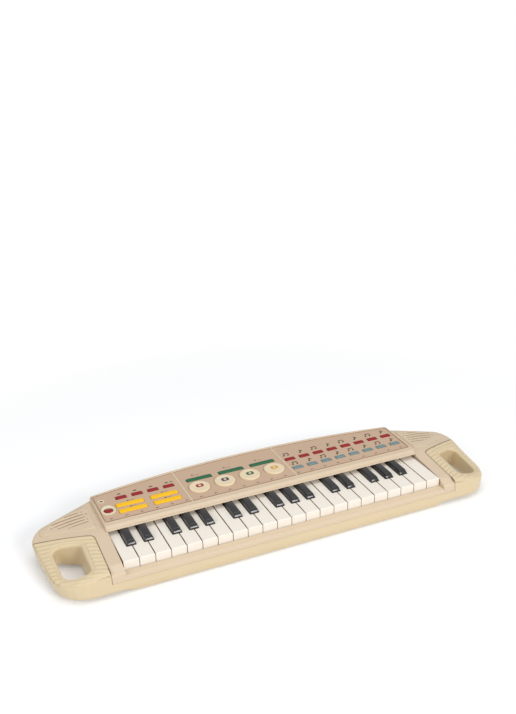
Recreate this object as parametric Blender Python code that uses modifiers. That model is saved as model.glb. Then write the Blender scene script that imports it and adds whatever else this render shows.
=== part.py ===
"""Portable toy keyboard: a moulded housing with a carrying handle at each end, thirty-seven hinged keys,
four drum pads, push buttons and a sliding power switch.

Metres, +Z up, low notes towards -X, the player towards -Y. The origin is on the table, under the middle of
the object. Distances along Y in the dimensions below are measured from the keys' front faces towards the back.
"""

import math

import bmesh
import bpy
from mathutils import Matrix, Vector
from mathutils.geometry import delaunay_2d_cdt

OBJECT_NAME = "portable_keyboard"

# Keys
WHITE_COUNT = 22
KEY_PITCH = 0.0195
KEY_GAP = 0.0008
KEY_WALL = 0.0016
KEY_EDGE = 0.0009
WHITE_HEAD = 0.0290
WHITE_HEIGHT = 0.0125
KEY_LENGTH = 0.0955
HINGE_BACK = 0.0880
HINGE_DROP = 0.0080
HINGE_RADIUS = 0.0022
TAIL_BLOCK = 0.0100
BLACK_WIDTH = 0.0112
BLACK_TOP_WIDTH = 0.0084
BLACK_RISE = 0.0055
BLACK_DEPTH = 0.0100
BLACK_SILL = 0.0012
BLACK_CLEARANCE = 0.0006
BLACK_REACH = 0.0340
PLUNGER_BACK = 0.0400
PLUNGER_DROP = 0.0140

# Each slot over a speaker, from the back: its ends and its small hole, measured outwards from the seam
SLOT_SPANS = (
    (0.0064, 0.0235, 0.0020),
    (0.0012, 0.0410, -0.0025),
    (0.0000, 0.0391, 0.0425),
    (0.0025, 0.0355, -0.0010),
    (-0.0010, 0.0203, 0.0235),
)

# Where each black key stands, by its boundary in the octave: its middle's offset from that boundary
BLACK_SHIFTS = {0: -0.0006, 1: 0.0018, 3: -0.0019, 4: 0.0001, 5: 0.0019}

# A handle's hole, below and on top: each corner outwards from the seam, back from the keys, and its radius
HOLE_FLOOR = (
    (0.0208, 0.0063, 0.0050),
    (0.0495, 0.0063, 0.0165),
    (0.0497, 0.0765, 0.0060),
    (0.0202, 0.0603, 0.0070),
)
HOLE_RIM = (
    (0.0188, 0.0050, 0.0055),
    (0.0490, 0.0050, 0.0180),
    (0.0520, 0.0722, 0.0070),
    (0.0190, 0.0562, 0.0070),
)
HOLE_RIM_RADIUS = 0.0030
HOLE_RIM_TURNS = (0, 35, 65)

# Heights above the table
KEY_TOP = 0.0350
FOOT_HEIGHT = 0.0012
FOOT_RADIUS = 0.0070
UNDERSIDE = 0.0042
PARTING = 0.0170
DECK_RISE = 0.0049
HOOD_RISE = 0.0100
PANEL_SINK = 0.0004

# Housing
WALL = 0.0022
PIECE_GAP = 0.0003
SEAM_GAP = 0.0006
KEY_SLOT_GAP = 0.0016
LIP_DEPTH = 0.0125
LIP_DROP = 0.0105
REAR_REACH = 0.1652
CHEEK = 0.0170
HANDLE_REACH = 0.0717
EDGE_RADIUS = 0.0035
EDGE_DRAFT = 0.0010
END_DRAFT = 0.0033
FRONT_CORNER_RADIUS = 0.0425
TIP_RADIUS = 0.0260
SIDE_LEAN = 0.0840
ARCH_REFERENCE = (0.2145, 1.1560)
WING_FALL = 0.1380
FRONT_SLOPE = 0.0990
END_CROWN_RADIUS = 0.2080
CROWN_FADE = 0.1900
CREASE_BACK = 0.0668
SEAM_BACK = 0.0629
SEAM_SLANT = 0.4850
SEAM_RADIUS = 0.0090
LIP_RECESS = 0.0008
BASE_INSET = 0.0020

# Hood and control panel
HOOD_FRONT = 0.0590
HOOD_RIM = 0.0150
HOOD_SIDE = 0.0050
HOOD_CLEARANCE = 0.0060
HOOD_NOSE = 0.0008
HOOD_CORNER_RADIUS = 0.0040
HOOD_REAR_INSET = 0.0014
PANEL_BACK_INSET = 0.0080
PANEL_SIDE_INSET = 0.0008
PANEL_THICKNESS = 0.0014
PANEL_LEDGE = 0.0030
PANEL_SPLIT = (0.2620, 0.6010)

# Buttons, each row's middle measured from the panel's front edge
BUTTON_CLEARANCE = 0.0004
BUTTON_RISE = 0.0014
BUTTON_TRAVEL = 0.0012
FLANGE = 0.0015
FLANGE_LIP = 0.0011
SMALL_BUTTON = (0.0140, 0.0064)
YELLOW_BAR = (0.0356, 0.0080)
GREEN_BAR = (0.0350, 0.0068)
PAD_RADIUS = 0.0138
PAD_RISE = 0.0022
PAD_TRAVEL = 0.0015
RED_ROW = 0.0490
GREEN_ROW = 0.0500
YELLOW_ROWS = (0.0166, 0.0312)
PAD_ROW = 0.0278
RIGHT_RED_ROW = 0.0435
RIGHT_BLUE_ROW = 0.0188
SWITCH_ROW = 0.0241
LAMP_ROW = 0.0500
SWITCH_WELL_RADIUS = 0.0062
SWITCH_RING_RADIUS = 0.0090
SWITCH_RING_RISE = 0.0010
SWITCH_KNOB = (0.0088, 0.0066)
SWITCH_TRAVEL = 0.0035
LAMP_SIZE = (0.0034, 0.0016)

# Inside
BOARD_THICKNESS = 0.0016
BOARD_DROP = 0.0018
CONTACT_BOARD_TOP = 0.0182
CONTACT_BOARD_SPAN = (0.0290, 0.0510)
POST_RADIUS = 0.0035
RAIL_WEB = 0.0030
RAIL_FOOT = (0.0140, 0.0020)
RAIL_SHORT = 0.0070
SPEAKER_RADIUS = 0.0220
SPEAKER_DEPTH = 0.0170
SPEAKER_BEYOND = 0.0205
SPEAKER_BACK = 0.1040
SPEAKER_TOP = 0.0285
MAGNET_RADIUS = 0.0130
SLOT_WIDTH = 0.0016
SLOT_PITCH = 0.0063
SLOT_BACK = 0.1193
BATTERY_BAY = (0.0620, 0.0560, 0.0170)
BATTERY_BACK = 0.1300
BATTERY_WALL = 0.0016
DOOR_LEDGE = 0.0030
DOOR_THICKNESS = 0.0014

# Values that follow from the ones above
FRONT_Y = -(LIP_DEPTH + REAR_REACH) / 2
KEYS_Y = FRONT_Y + LIP_DEPTH
REAR_Y = KEYS_Y + REAR_REACH
KEYBED_HALF = WHITE_COUNT * KEY_PITCH / 2
SEAM_X = KEYBED_HALF + CHEEK
ARCH_RADIUS = ARCH_REFERENCE[1] * (KEYBED_HALF / ARCH_REFERENCE[0]) ** 2
SPEAKER_OUT = SEAM_X + SPEAKER_BEYOND
TIP_X = SEAM_X + HANDLE_REACH
DECK_TOP = KEY_TOP + DECK_RISE
HOOD_TOP = KEY_TOP + HOOD_RISE
PANEL_TOP = HOOD_TOP - PANEL_SINK
PANEL_UNDER = PANEL_TOP - PANEL_THICKNESS
PANEL_FRONT_Y = KEYS_Y + HOOD_FRONT + HOOD_RIM
PANEL_HALF = KEYBED_HALF - PANEL_SIDE_INSET
CREASE_Y = KEYS_Y + CREASE_BACK
HINGE_Y = KEYS_Y + HINGE_BACK
HINGE_Z = KEY_TOP - HINGE_DROP
BASE_HALF = KEYBED_HALF + 0.0100
FLOOR_TOP = FOOT_HEIGHT + WALL
FLANGE_TOP = PANEL_UNDER - PIECE_GAP
LEG_END = FLANGE_TOP - FLANGE - BOARD_DROP
BOARD_TOP = LEG_END - max(PAD_TRAVEL, BUTTON_TRAVEL) - PIECE_GAP
BATTERY_Y = KEYS_Y + BATTERY_BACK
HIGH = 0.1000
LOW = -0.0500

ARCH_POINTS = 9
CROWN_STEP = 0.0160
CORNER_STEPS = 6
EDGE_STEPS = 3
ROUND_STEPS = 20


# Scene and collections

def clear_scene():
    for item in list(bpy.data.objects):
        bpy.data.objects.remove(item, do_unlink=True)


def new_collection(name):
    collection = bpy.data.collections.new(name)
    bpy.context.scene.collection.children.link(collection)
    return collection


clear_scene()
PARTS = new_collection(OBJECT_NAME)
CUTTERS = new_collection("cutters")


def new_material(name, colour, roughness, metallic=0.0):
    material = bpy.data.materials.new(name)
    material.use_nodes = True
    shader = material.node_tree.nodes["Principled BSDF"]
    shader.inputs["Base Color"].default_value = (*colour, 1.0)
    shader.inputs["Roughness"].default_value = roughness
    shader.inputs["Metallic"].default_value = metallic
    material.diffuse_color = (*colour, 1.0)
    return material


# Objects and modifiers

def add_object(name, mesh, material=None):
    """A part when it has a material, otherwise a cutter, which is drawn as wire and not rendered."""
    item = bpy.data.objects.new(name, mesh)
    if material is None:
        CUTTERS.objects.link(item)
        item.display_type = "WIRE"
        item.hide_render = True
        return item
    PARTS.objects.link(item)
    if not mesh.materials:
        mesh.materials.append(material)
    return item


def mesh_from(name, shape):
    mesh = bpy.data.meshes.new(name)
    shape.to_mesh(mesh)
    shape.free()
    return mesh


def evaluated_mesh(item, name):
    """The mesh of an object with its modifiers applied, with the points that touch made one."""
    bpy.context.view_layer.update()
    graph = bpy.context.evaluated_depsgraph_get()
    mesh = bpy.data.meshes.new_from_object(item.evaluated_get(graph))
    mesh.name = name
    shape = bmesh.new()
    shape.from_mesh(mesh)
    bmesh.ops.remove_doubles(shape, verts=shape.verts, dist=1e-6)
    bmesh.ops.recalc_face_normals(shape, faces=shape.faces)
    shape.to_mesh(mesh)
    shape.free()
    return mesh


def boolean(item, other, operation):
    modifier = item.modifiers.new(other.name, "BOOLEAN")
    modifier.operation = operation
    modifier.solver = "EXACT"
    modifier.object = other


def cut(item, *others):
    for other in others:
        boolean(item, other, "DIFFERENCE")


def join(item, *others):
    for other in others:
        boolean(item, other, "UNION")


def keep_common(item, other):
    boolean(item, other, "INTERSECT")


def use_manifold(item):
    """For the long chains, where the exact solver leaves open edges."""
    for modifier in item.modifiers:
        modifier.solver = "MANIFOLD"


def baked(item, name, material):
    """Replaces an object and its modifiers by a part with the plain mesh that they give."""
    mesh = evaluated_mesh(item, name)
    place = item.matrix_world.copy()
    bpy.data.objects.remove(item, do_unlink=True)
    part = add_object(name, mesh, material)
    part.matrix_world = place
    return part


def soften(item, width, segments, above):
    """Bevels the edges that lie wholly at or above a height in the object's own frame."""
    shape = bmesh.new()
    shape.from_mesh(item.data)
    weight = shape.edges.layers.float.new("bevel_weight_edge")
    for edge in shape.edges:
        if min(vertex.co.z for vertex in edge.verts) >= above:
            edge[weight] = 1.0
    shape.to_mesh(item.data)
    shape.free()
    modifier = item.modifiers.new("softened_edges", "BEVEL")
    modifier.limit_method = "WEIGHT"
    modifier.width = width
    modifier.segments = segments


def shade_round(item, angle=35):
    item.data.shade_smooth()
    item.data.set_sharp_from_angle(angle=math.radians(angle))


# Outlines, as closed loops of plan points that run counter-clockwise

def arc_between(centre, start, end, steps):
    """Points turning from start to end about a centre: two spokes blended by sines of the angle."""
    first = Vector(start) - centre
    last = Vector(end) - centre
    angle = first.angle(last)
    points = []
    for step in range(steps + 1):
        share = step / steps
        spoke = first * math.sin((1 - share) * angle) + last * math.sin(share * angle)
        points.append(centre + spoke / math.sin(angle))
    return points


def rounded_loop(corners, steps=CORNER_STEPS):
    """A closed loop through (x, y, radius) corners, each radius an arc that touches both of its sides."""
    loop = []
    for index, (x, y, radius) in enumerate(corners):
        corner = Vector((x, y))
        if radius == 0:
            loop.append(corner)
            continue
        before = (Vector(corners[index - 1][:2]) - corner).normalized()
        after = (Vector(corners[(index + 1) % len(corners)][:2]) - corner).normalized()
        half = before.angle(after) / 2
        centre = corner + (before + after).normalized() * radius / math.sin(half)
        reach = radius / math.tan(half)
        loop += arc_between(centre, corner + before * reach, corner + after * reach, steps)
    return loop


def both_sides(right):
    """The corners of a whole outline from those of its right half, which runs from front to back."""
    left = [(-x, y, radius) for x, y, radius in reversed(right) if x > 0]
    return right + left


def rectangle(x, y, width, depth, radius=0.0, steps=2):
    half_x = width / 2
    half_y = depth / 2
    signs = ((-1, -1), (1, -1), (1, 1), (-1, 1))
    return rounded_loop([(x + sx * half_x, y + sy * half_y, radius) for sx, sy in signs], steps)


def circle(x, y, radius, steps=ROUND_STEPS):
    angles = [2 * math.pi * step / steps for step in range(steps)]
    return [Vector((x + radius * math.cos(angle), y + radius * math.sin(angle))) for angle in angles]


def offset_loop(loop, distance):
    """Each side of the loop moved inwards by a distance, with mitred corners; outwards if negative."""
    moved = []
    for before, point, after in zip(loop[-1:] + loop[:-1], loop, loop[1:] + loop[:1]):
        arriving = (point - before).normalized()
        leaving = (after - point).normalized()
        normals = Vector((-arriving.y, arriving.x)), Vector((-leaving.y, leaving.x))
        moved.append(point + (normals[0] + normals[1]) * distance / (1 + normals[0].dot(normals[1])))
    return moved


def is_inside(point, loop):
    """Even-odd rule: a ray along +X from the point crosses the loop an odd number of times."""
    inside = False
    for start, end in zip(loop, loop[1:] + loop[:1]):
        if (start.y > point.y) != (end.y > point.y):
            crossing = start.x + (end.x - start.x) * (point.y - start.y) / (end.y - start.y)
            if crossing > point.x:
                inside = not inside
    return inside


# Solids

def plate(name, loops, low, high, material=None):
    """A flat plate: one outer loop and any holes as a filled 2D curve, extruded by half its thickness."""
    curve = bpy.data.curves.new(name, "CURVE")
    curve.dimensions = "2D"
    curve.fill_mode = "BOTH"
    curve.extrude = (high - low) / 2
    for loop in loops:
        spline = curve.splines.new("POLY")
        spline.points.add(len(loop) - 1)
        for point, place in zip(spline.points, loop):
            point.co = (place[0], place[1], 0.0, 1.0)
        spline.use_cyclic_u = True
    outline = bpy.data.objects.new(name, curve)
    CUTTERS.objects.link(outline)
    mesh = evaluated_mesh(outline, name)
    bpy.data.objects.remove(outline, do_unlink=True)
    item = add_object(name, mesh, material)
    item.location.z = (low + high) / 2
    return item


def box(name, low, high, material=None):
    shape = bmesh.new()
    bmesh.ops.create_cube(shape, size=1.0)
    size = Vector(high) - Vector(low)
    middle = (Vector(high) + Vector(low)) / 2
    bmesh.ops.transform(shape, matrix=Matrix.LocRotScale(middle, None, size), verts=shape.verts)
    return add_object(name, mesh_from(name, shape), material)


def post(name, x, y, low, high, radius, steps=10):
    shape = bmesh.new()
    bmesh.ops.create_cone(
        shape, cap_ends=True, segments=steps, radius1=radius, radius2=radius, depth=high - low
    )
    bmesh.ops.translate(shape, vec=(x, y, (low + high) / 2), verts=shape.verts)
    return add_object(name, mesh_from(name, shape))


def rod_along_x(name, y, z, length, radius, steps=16):
    shape = bmesh.new()
    bmesh.ops.create_cone(
        shape, cap_ends=True, segments=steps, radius1=radius, radius2=radius, depth=length
    )
    turn = Matrix.Rotation(math.pi / 2, 4, "Y")
    bmesh.ops.transform(shape, matrix=Matrix.Translation((0, y, z)) @ turn, verts=shape.verts)
    return add_object(name, mesh_from(name, shape))


def side_profile(name, points, width, material=None):
    """A bar along X whose section is a list of (y, z) points, as a 2D curve stood on its side."""
    item = plate(name, [[Vector(point) for point in points]], -width / 2, width / 2, material)
    item.matrix_world = Matrix(((0, 0, 1, 0), (1, 0, 0, 0), (0, 1, 0, 0), (0, 0, 0, 1)))
    return item


def turned(name, profile, place, material):
    """A round piece: (radius, z) points from the top down, spun about Z by a Screw modifier."""
    mesh = bpy.data.meshes.new(name)
    points = [(radius, 0.0, z) for radius, z in profile]
    mesh.from_pydata(points, [(index, index + 1) for index in range(len(points) - 1)], [])
    item = add_object(name, mesh, material)
    modifier = item.modifiers.new("turned", "SCREW")
    modifier.steps = ROUND_STEPS
    modifier.render_steps = ROUND_STEPS
    modifier.use_merge_vertices = True
    modifier.merge_threshold = 0.00001
    item.location = place
    return item


def stacked_rings(rings):
    """The walls of a solid through rings of equally many points, lowest first, with a flat floor."""
    shape = bmesh.new()
    loops = [[shape.verts.new(point) for point in ring] for ring in rings]
    for lower, upper in zip(loops, loops[1:]):
        for index in range(len(lower)):
            after = (index + 1) % len(lower)
            shape.faces.new((lower[index], lower[after], upper[after], upper[index]))
    shape.faces.new(list(reversed(loops[0])))
    return shape, loops[-1]


def loft(name, rings, material=None):
    shape, top = stacked_rings(rings)
    shape.faces.new(top)
    return add_object(name, mesh_from(name, shape), material)


# The housing's form, which both cases share

def arch_y(x):
    """The back of the housing: a shallow arc, which turns down more steeply past the keys."""
    return REAR_Y - x**2 / (2 * ARCH_RADIUS) - WING_FALL * max(0.0, abs(x) - KEYBED_HALF)


def housing_outline():
    """The widest outline: a straight front, round corners, leaning ends, round tips and an arched back."""
    tip_y = arch_y(TIP_X)
    front_x = TIP_X - (tip_y - FRONT_Y) * SIDE_LEAN
    right = [(front_x, FRONT_Y, FRONT_CORNER_RADIUS), (TIP_X, tip_y, TIP_RADIUS)]
    for step in range(1, ARCH_POINTS):
        x = KEYBED_HALF * (1 - (step - 1) / (ARCH_POINTS - 2))
        right.append((x, arch_y(x), 0.0))
    return rounded_loop(both_sides(right))


def deck_height(point):
    """The top: level behind a crease, sloping down before it, and crowned past the keys."""
    ahead = max(0.0, CREASE_Y - point[1])
    behind = max(0.0, point[1] - CREASE_Y)
    beyond = max(0.0, abs(point[0]) - KEYBED_HALF)
    crown = beyond**2 / (2 * END_CROWN_RADIUS) / (1 + behind / CROWN_FADE) ** 2
    return DECK_TOP - FRONT_SLOPE * ahead - crown


def crown_points(loop, spacing):
    """Points inside a loop, in rows that include the crease, past the keys, where the top curves."""
    inner = offset_loop(loop, spacing / 3)
    found = []
    for row in range(-8, 9):
        y = CREASE_Y + row * spacing
        for column in range(-8, 9):
            point = Vector((math.copysign(KEYBED_HALF + (abs(column) - 1) * spacing, column), y))
            if column != 0 and is_inside(point, inner):
                found.append(point)
    return found


def drawn_in(point):
    """A point below the parting line, moved in towards the keys: not at the seam, and fully at the tips."""
    share = max(0.0, abs(point[0]) - SEAM_X) / (TIP_X - SEAM_X)
    return Vector((point[0] - math.copysign(END_DRAFT * share, point[0]), point[1]))


def housing_form(name, thickness=0.0):
    """The closed outer form, or with a thickness the hollow that leaves a wall that thick everywhere."""
    outline = housing_outline()
    rings = []
    for inset, z in ((0.0030, UNDERSIDE), (0.0006, UNDERSIDE + 0.0014), (0.0, UNDERSIDE + 0.0050)):
        lifted = z + thickness * (1 - (z - UNDERSIDE) / (PARTING - UNDERSIDE))
        rings.append([(*drawn_in(point), lifted) for point in offset_loop(outline, inset + thickness)])
    radius = EDGE_RADIUS - thickness
    for step in range(EDGE_STEPS + 1):
        turn = math.pi / 2 * step / EDGE_STEPS
        inset = thickness + EDGE_DRAFT + radius * (1 - math.cos(turn))
        sink = thickness + radius * (1 - math.sin(turn))
        rings.append([(*point, deck_height(point) - sink) for point in offset_loop(outline, inset)])
    shape, rim = stacked_rings(rings)
    loop = [vertex.co.xy for vertex in rim]
    inner = crown_points(loop, CROWN_STEP)
    edges = [(index, (index + 1) % len(loop)) for index in range(len(loop))]
    crease = [len(loop) + index for index, point in enumerate(inner) if point.y == CREASE_Y]
    crease.sort(key=lambda index: inner[index - len(loop)].x)
    edges += zip(crease, crease[1:])
    places, _, triangles, sources, _, _ = delaunay_2d_cdt(loop + inner, edges, [], 1, 1e-7)
    vertices = []
    for place, source in zip(places, sources):
        if source[0] < len(rim):
            vertices.append(rim[source[0]])
        else:
            vertices.append(shape.verts.new((*place, deck_height(place) - thickness)))
    for triangle in triangles:
        shape.faces.new([vertices[index] for index in triangle])
    return add_object(name, mesh_from(name, shape))


def deck_outline():
    """The upper case seen from above, run out past the housing at the front, the back and the tips."""
    far = TIP_X + 0.0400
    seam_end = KEYS_Y + SEAM_BACK + (far - SEAM_X) * SEAM_SLANT
    right = [
        (SEAM_X, FRONT_Y - 0.0400, 0.0),
        (SEAM_X, KEYS_Y + SEAM_BACK, SEAM_RADIUS),
        (far, seam_end, 0.0),
        (far, REAR_Y + 0.0400, 0.0),
    ]
    return rounded_loop(both_sides(right))


def housing_hollow():
    """What both cases enclose: the form's inside, kept a wall away from the handles, and the base's."""
    hollow = housing_form("housing_hollow", WALL)
    keep_common(hollow, plate("hollow_plan", [offset_loop(deck_outline(), WALL)], LOW, HIGH))
    join(hollow, loft("base_hollow", base_rings(WALL)))
    return hollow


def base_outline(inset):
    """The base that stands on the table: as deep as the housing, and as wide as the keys."""
    half = BASE_HALF - inset
    right = [(half, FRONT_Y + inset, 0.0060)]
    for step in range(6):
        x = half * (1 - step / 5)
        right.append((x, arch_y(x) - inset, 0.0))
    return rounded_loop(both_sides(right), 3)


def base_rings(thickness=0.0):
    """The base's rings, with ends that slope out to meet the handles' underside."""
    flare = 0.0115
    rings = []
    for inset, z in ((flare, FOOT_HEIGHT), (0.0, UNDERSIDE + 0.0010), (0.0, UNDERSIDE + 0.0033)):
        outline = base_outline(BASE_INSET + thickness)
        slid = [Vector((point.x * (1 - inset / BASE_HALF), point.y)) for point in outline]
        rings.append([(*point, z + thickness) for point in slid])
    return rings


# Lower case

def handle_hole(name, side):
    """The through-hole of a handle: steep walls, round corners, and a rim rolled over to the top."""
    loops = []
    for corners in (HOLE_FLOOR, HOLE_RIM):
        placed = [(SEAM_X + across, KEYS_Y + back, radius) for across, back, radius in corners]
        loop = rounded_loop(placed, 5)
        if side < 0:
            loop = [Vector((-point.x, point.y)) for point in reversed(loop)]
        loops.append(loop)
    floor, rim = loops
    rings = [[(*point, LOW) for point in floor], [(*point, UNDERSIDE) for point in floor]]
    for turn in HOLE_RIM_TURNS:
        sink = HOLE_RIM_RADIUS * (1 - math.sin(math.radians(turn)))
        outwards = HOLE_RIM_RADIUS * (1 - math.cos(math.radians(turn)))
        rings.append([(*point, deck_height(point) - sink) for point in offset_loop(rim, -outwards)])
    last = math.radians(HOLE_RIM_TURNS[-1])
    run = HOLE_RIM_RADIUS * (1 - math.cos(last)) + math.tan(last) * HOLE_RIM_RADIUS / 2
    high = HOLE_RIM_RADIUS * (math.sin(last) - 1) + HOLE_RIM_RADIUS / 2
    rings.append([(*point, deck_height(point) + high) for point in offset_loop(rim, -run)])
    return loft(name, rings)


def lower_case(form, hollow, material):
    """The tub and both handles in one moulding, with the battery bay, its ledge and the board posts."""
    case = form.copy()
    case.data = form.data.copy()
    case.name = "lower_case"
    CUTTERS.objects.link(case)
    deck_space = plate("deck_space", [offset_loop(deck_outline(), -SEAM_GAP)], PARTING, HIGH)
    cut(case, deck_space)
    join(case, loft("base", base_rings()))
    cut(case, hollow)
    cut(case, handle_hole("left_hole", -1), handle_hole("right_hole", 1))
    join(case, battery_bay())
    for name, (x, y) in board_posts().items():
        high = BOARD_TOP - BOARD_THICKNESS - PIECE_GAP
        join(case, post(name, x, y, FLOOR_TOP - WALL / 2, high, POST_RADIUS))
    for name, (x, y) in contact_posts().items():
        high = CONTACT_BOARD_TOP - BOARD_THICKNESS - PIECE_GAP
        join(case, post(name, x, y, FLOOR_TOP - WALL / 2, high, POST_RADIUS))
    for name, side in (("left_rest", -1), ("right_rest", 1)):
        low = UNDERSIDE + WALL / 2
        high = SPEAKER_TOP - SPEAKER_DEPTH - PIECE_GAP
        join(case, post(name, side * SPEAKER_OUT, KEYS_Y + SPEAKER_BACK, low, high, MAGNET_RADIUS / 2, 12))
    for name, (x, y) in feet().items():
        join(case, post(name, x, y, 0.0, FOOT_HEIGHT + WALL / 2, FOOT_RADIUS, 16))
    bay_x, bay_y, bay_z = BATTERY_BAY
    cut(case, plate("bay_inside", [rectangle(0, BATTERY_Y, bay_x, bay_y)], LOW, FOOT_HEIGHT + bay_z))
    seat = rectangle(0, BATTERY_Y, bay_x + 2 * DOOR_LEDGE, bay_y + 2 * DOOR_LEDGE)
    cut(case, plate("door_seat", [seat], LOW, FOOT_HEIGHT + DOOR_THICKNESS + PIECE_GAP))
    part = baked(case, "lower_case", material)
    shade_round(part)
    return part


def battery_bay():
    """The bay's box with a thicker frame round its mouth, where the door's ledge is cut."""
    bay_x, bay_y, bay_z = BATTERY_BAY
    low = FLOOR_TOP - WALL / 2
    boxes = []
    for name, wall, high in (
        ("battery_bay", BATTERY_WALL, FOOT_HEIGHT + bay_z + BATTERY_WALL),
        ("bay_frame", DOOR_LEDGE + BATTERY_WALL, FOOT_HEIGHT + DOOR_THICKNESS + 2 * BATTERY_WALL),
    ):
        half_x = bay_x / 2 + wall
        half_y = bay_y / 2 + wall
        boxes.append(box(name, (-half_x, BATTERY_Y - half_y, low), (half_x, BATTERY_Y + half_y, high)))
    join(*boxes)
    return boxes[0]


def board_posts():
    x = PANEL_HALF - 0.0160
    front = HINGE_Y + KEY_LENGTH - HINGE_BACK + POST_RADIUS + 0.0020
    back = PANEL_FRONT_Y + 0.0560
    places = {}
    for number, (across, y) in enumerate(((-x, front), (0.0500, front), (x, front), (-x, back), (x, back))):
        places[f"board_post_{number}"] = (across, y)
    return places


def contact_posts():
    y = KEYS_Y + sum(CONTACT_BOARD_SPAN) / 2
    span = KEYBED_HALF - 0.0250
    return {f"contact_post_{number}": (span * (number - 2) / 2, y) for number in range(5)}


def feet():
    x = BASE_HALF - 0.0320
    ys = (KEYS_Y + 0.0060, KEYS_Y + 0.1250)
    return {f"foot_{number}": (side * x, y) for number, (side, y) in enumerate(
        (side, y) for side in (-1, 1) for y in ys
    )}


# Upper case

def hood_outline(side, front, rear_inset, radius):
    """The hood seen from above: a straight front, near-parallel sides and a back that follows the arch."""
    right = [(side, front, radius), (side, arch_y(side) - rear_inset, radius)]
    for step in range(1, ARCH_POINTS):
        x = (side - 2 * radius) * (1 - step / (ARCH_POINTS - 1))
        right.append((x, arch_y(x) - rear_inset, 0.0))
    return rounded_loop(both_sides(right), 4)


def hood_ring(side, front, rear_inset, z, radius=HOOD_CORNER_RADIUS):
    outline = hood_outline(KEYBED_HALF + side, KEYS_Y + front, rear_inset, radius)
    return [(*point, z) for point in outline]


def hood():
    """The raised block round the panel: a sloped front over the keys, steep sides and a softened rim."""
    lowest = KEY_TOP + HOOD_CLEARANCE + HOOD_NOSE
    shoulder = HOOD_TOP - 0.0006
    return loft("hood", [
        hood_ring(HOOD_SIDE - 0.0022, HOOD_FRONT - 0.0012, HOOD_REAR_INSET, DECK_TOP - WALL),
        hood_ring(HOOD_SIDE - 0.0024, HOOD_FRONT, HOOD_REAR_INSET + 0.0004, lowest),
        hood_ring(HOOD_SIDE - 0.0027, HOOD_FRONT + 0.0058, HOOD_REAR_INSET + 0.0012, shoulder),
        hood_ring(HOOD_SIDE - 0.0033, HOOD_FRONT + 0.0066, HOOD_REAR_INSET + 0.0019, HOOD_TOP),
    ])


def hood_hollow():
    ceiling = PANEL_UNDER - PIECE_GAP - WALL + 0.0002
    ring = (HOOD_SIDE - WALL - 0.0026, HOOD_FRONT + 0.0050, HOOD_REAR_INSET + WALL + 0.0024)
    radius = HOOD_CORNER_RADIUS - 0.0015
    return loft("hood_hollow", [hood_ring(*ring, z, radius) for z in (PARTING + 0.0050, ceiling)])


def panel_loop(inset=0.0):
    """The control panel seen from above, inside the hood's rim."""
    right = [
        (PANEL_HALF - inset, PANEL_FRONT_Y + inset, 0.0012),
        (PANEL_HALF + 0.0021 - inset, arch_y(PANEL_HALF) - PANEL_BACK_INSET + 0.0025 - inset, 0.0012),
    ]
    for step in range(2, ARCH_POINTS):
        x = PANEL_HALF * (1 - step / (ARCH_POINTS - 1))
        right.append((x, arch_y(x) - PANEL_BACK_INSET - inset, 0.0))
    return rounded_loop(both_sides(right), 2)


def lip_space():
    """The air over the lip in front of the keys: the lip falls gently forward and ends in a round nose."""
    lip = KEY_TOP - LIP_DROP
    nose_y = FRONT_Y + 0.0035
    points = [(KEYS_Y + 0.0010, HIGH), (KEYS_Y + 0.0010, lip), (nose_y, lip - 0.0011)]
    for step in range(1, 4):
        turn = math.pi / 2 * step / 3
        points.append((nose_y - 0.0028 * math.sin(turn), lip - 0.0011 - 0.0028 * (1 - math.cos(turn))))
    points += [(FRONT_Y - 0.0100, lip - 0.0050), (FRONT_Y - 0.0100, HIGH)]
    return side_profile("lip_space", points, 2 * (KEYBED_HALF + LIP_RECESS))


def slot_loop(side, x_low, x_high, y):
    """One slot over a speaker, along X between two distances from the middle."""
    return rectangle(side * (x_low + x_high) / 2, y, x_high - x_low, SLOT_WIDTH)


def speaker_slots(side):
    """The slots over a speaker, each with a small square hole past one of its ends."""
    name = "left" if side < 0 else "right"
    openings = []
    for number, (x_low, x_high, x_hole) in enumerate(SLOT_SPANS):
        y = KEYS_Y + SLOT_BACK - SLOT_PITCH * number
        loop = slot_loop(side, SEAM_X + x_low, SEAM_X + x_high, y)
        openings.append(plate(f"slot_{name}_{number}", [loop], PARTING, HIGH))
        hole = slot_loop(side, SEAM_X + x_hole - SLOT_WIDTH / 2, SEAM_X + x_hole + SLOT_WIDTH / 2, y)
        openings.append(plate(f"hole_{name}_{number}", [hole], PARTING, HIGH))
    return openings


def speaker_well(side, core):
    """A ring that hangs from the deck, on the speaker's rim."""
    x = side * SPEAKER_OUT
    y = KEYS_Y + SPEAKER_BACK
    name = "left" if side < 0 else "right"
    loops = [circle(x, y, SPEAKER_RADIUS - 0.0002), circle(x, y, SPEAKER_RADIUS - 0.0020)]
    well = plate(f"speaker_well_{name}", loops, SPEAKER_TOP + PIECE_GAP, HIGH)
    keep_common(well, core)
    return well


def key_surround(core):
    """The walls round the key slot and the block that the lip is cut from, ending inside the skin."""
    half = KEYBED_HALF + KEY_SLOT_GAP / 2 + WALL
    low = KEY_TOP - LIP_DROP - 2 * WALL
    front = FRONT_Y + WALL * 0.7
    walls = box("key_surround", (-half, KEYS_Y - 0.0020, low), (half, KEYS_Y + HOOD_FRONT + 0.0080, HIGH))
    lip_half = KEYBED_HALF + LIP_RECESS + WALL
    join(walls, box("lip_block", (-lip_half, front, low), (lip_half, KEYS_Y + 0.0010 + WALL, HIGH)))
    keep_common(walls, core)
    return walls


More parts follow.
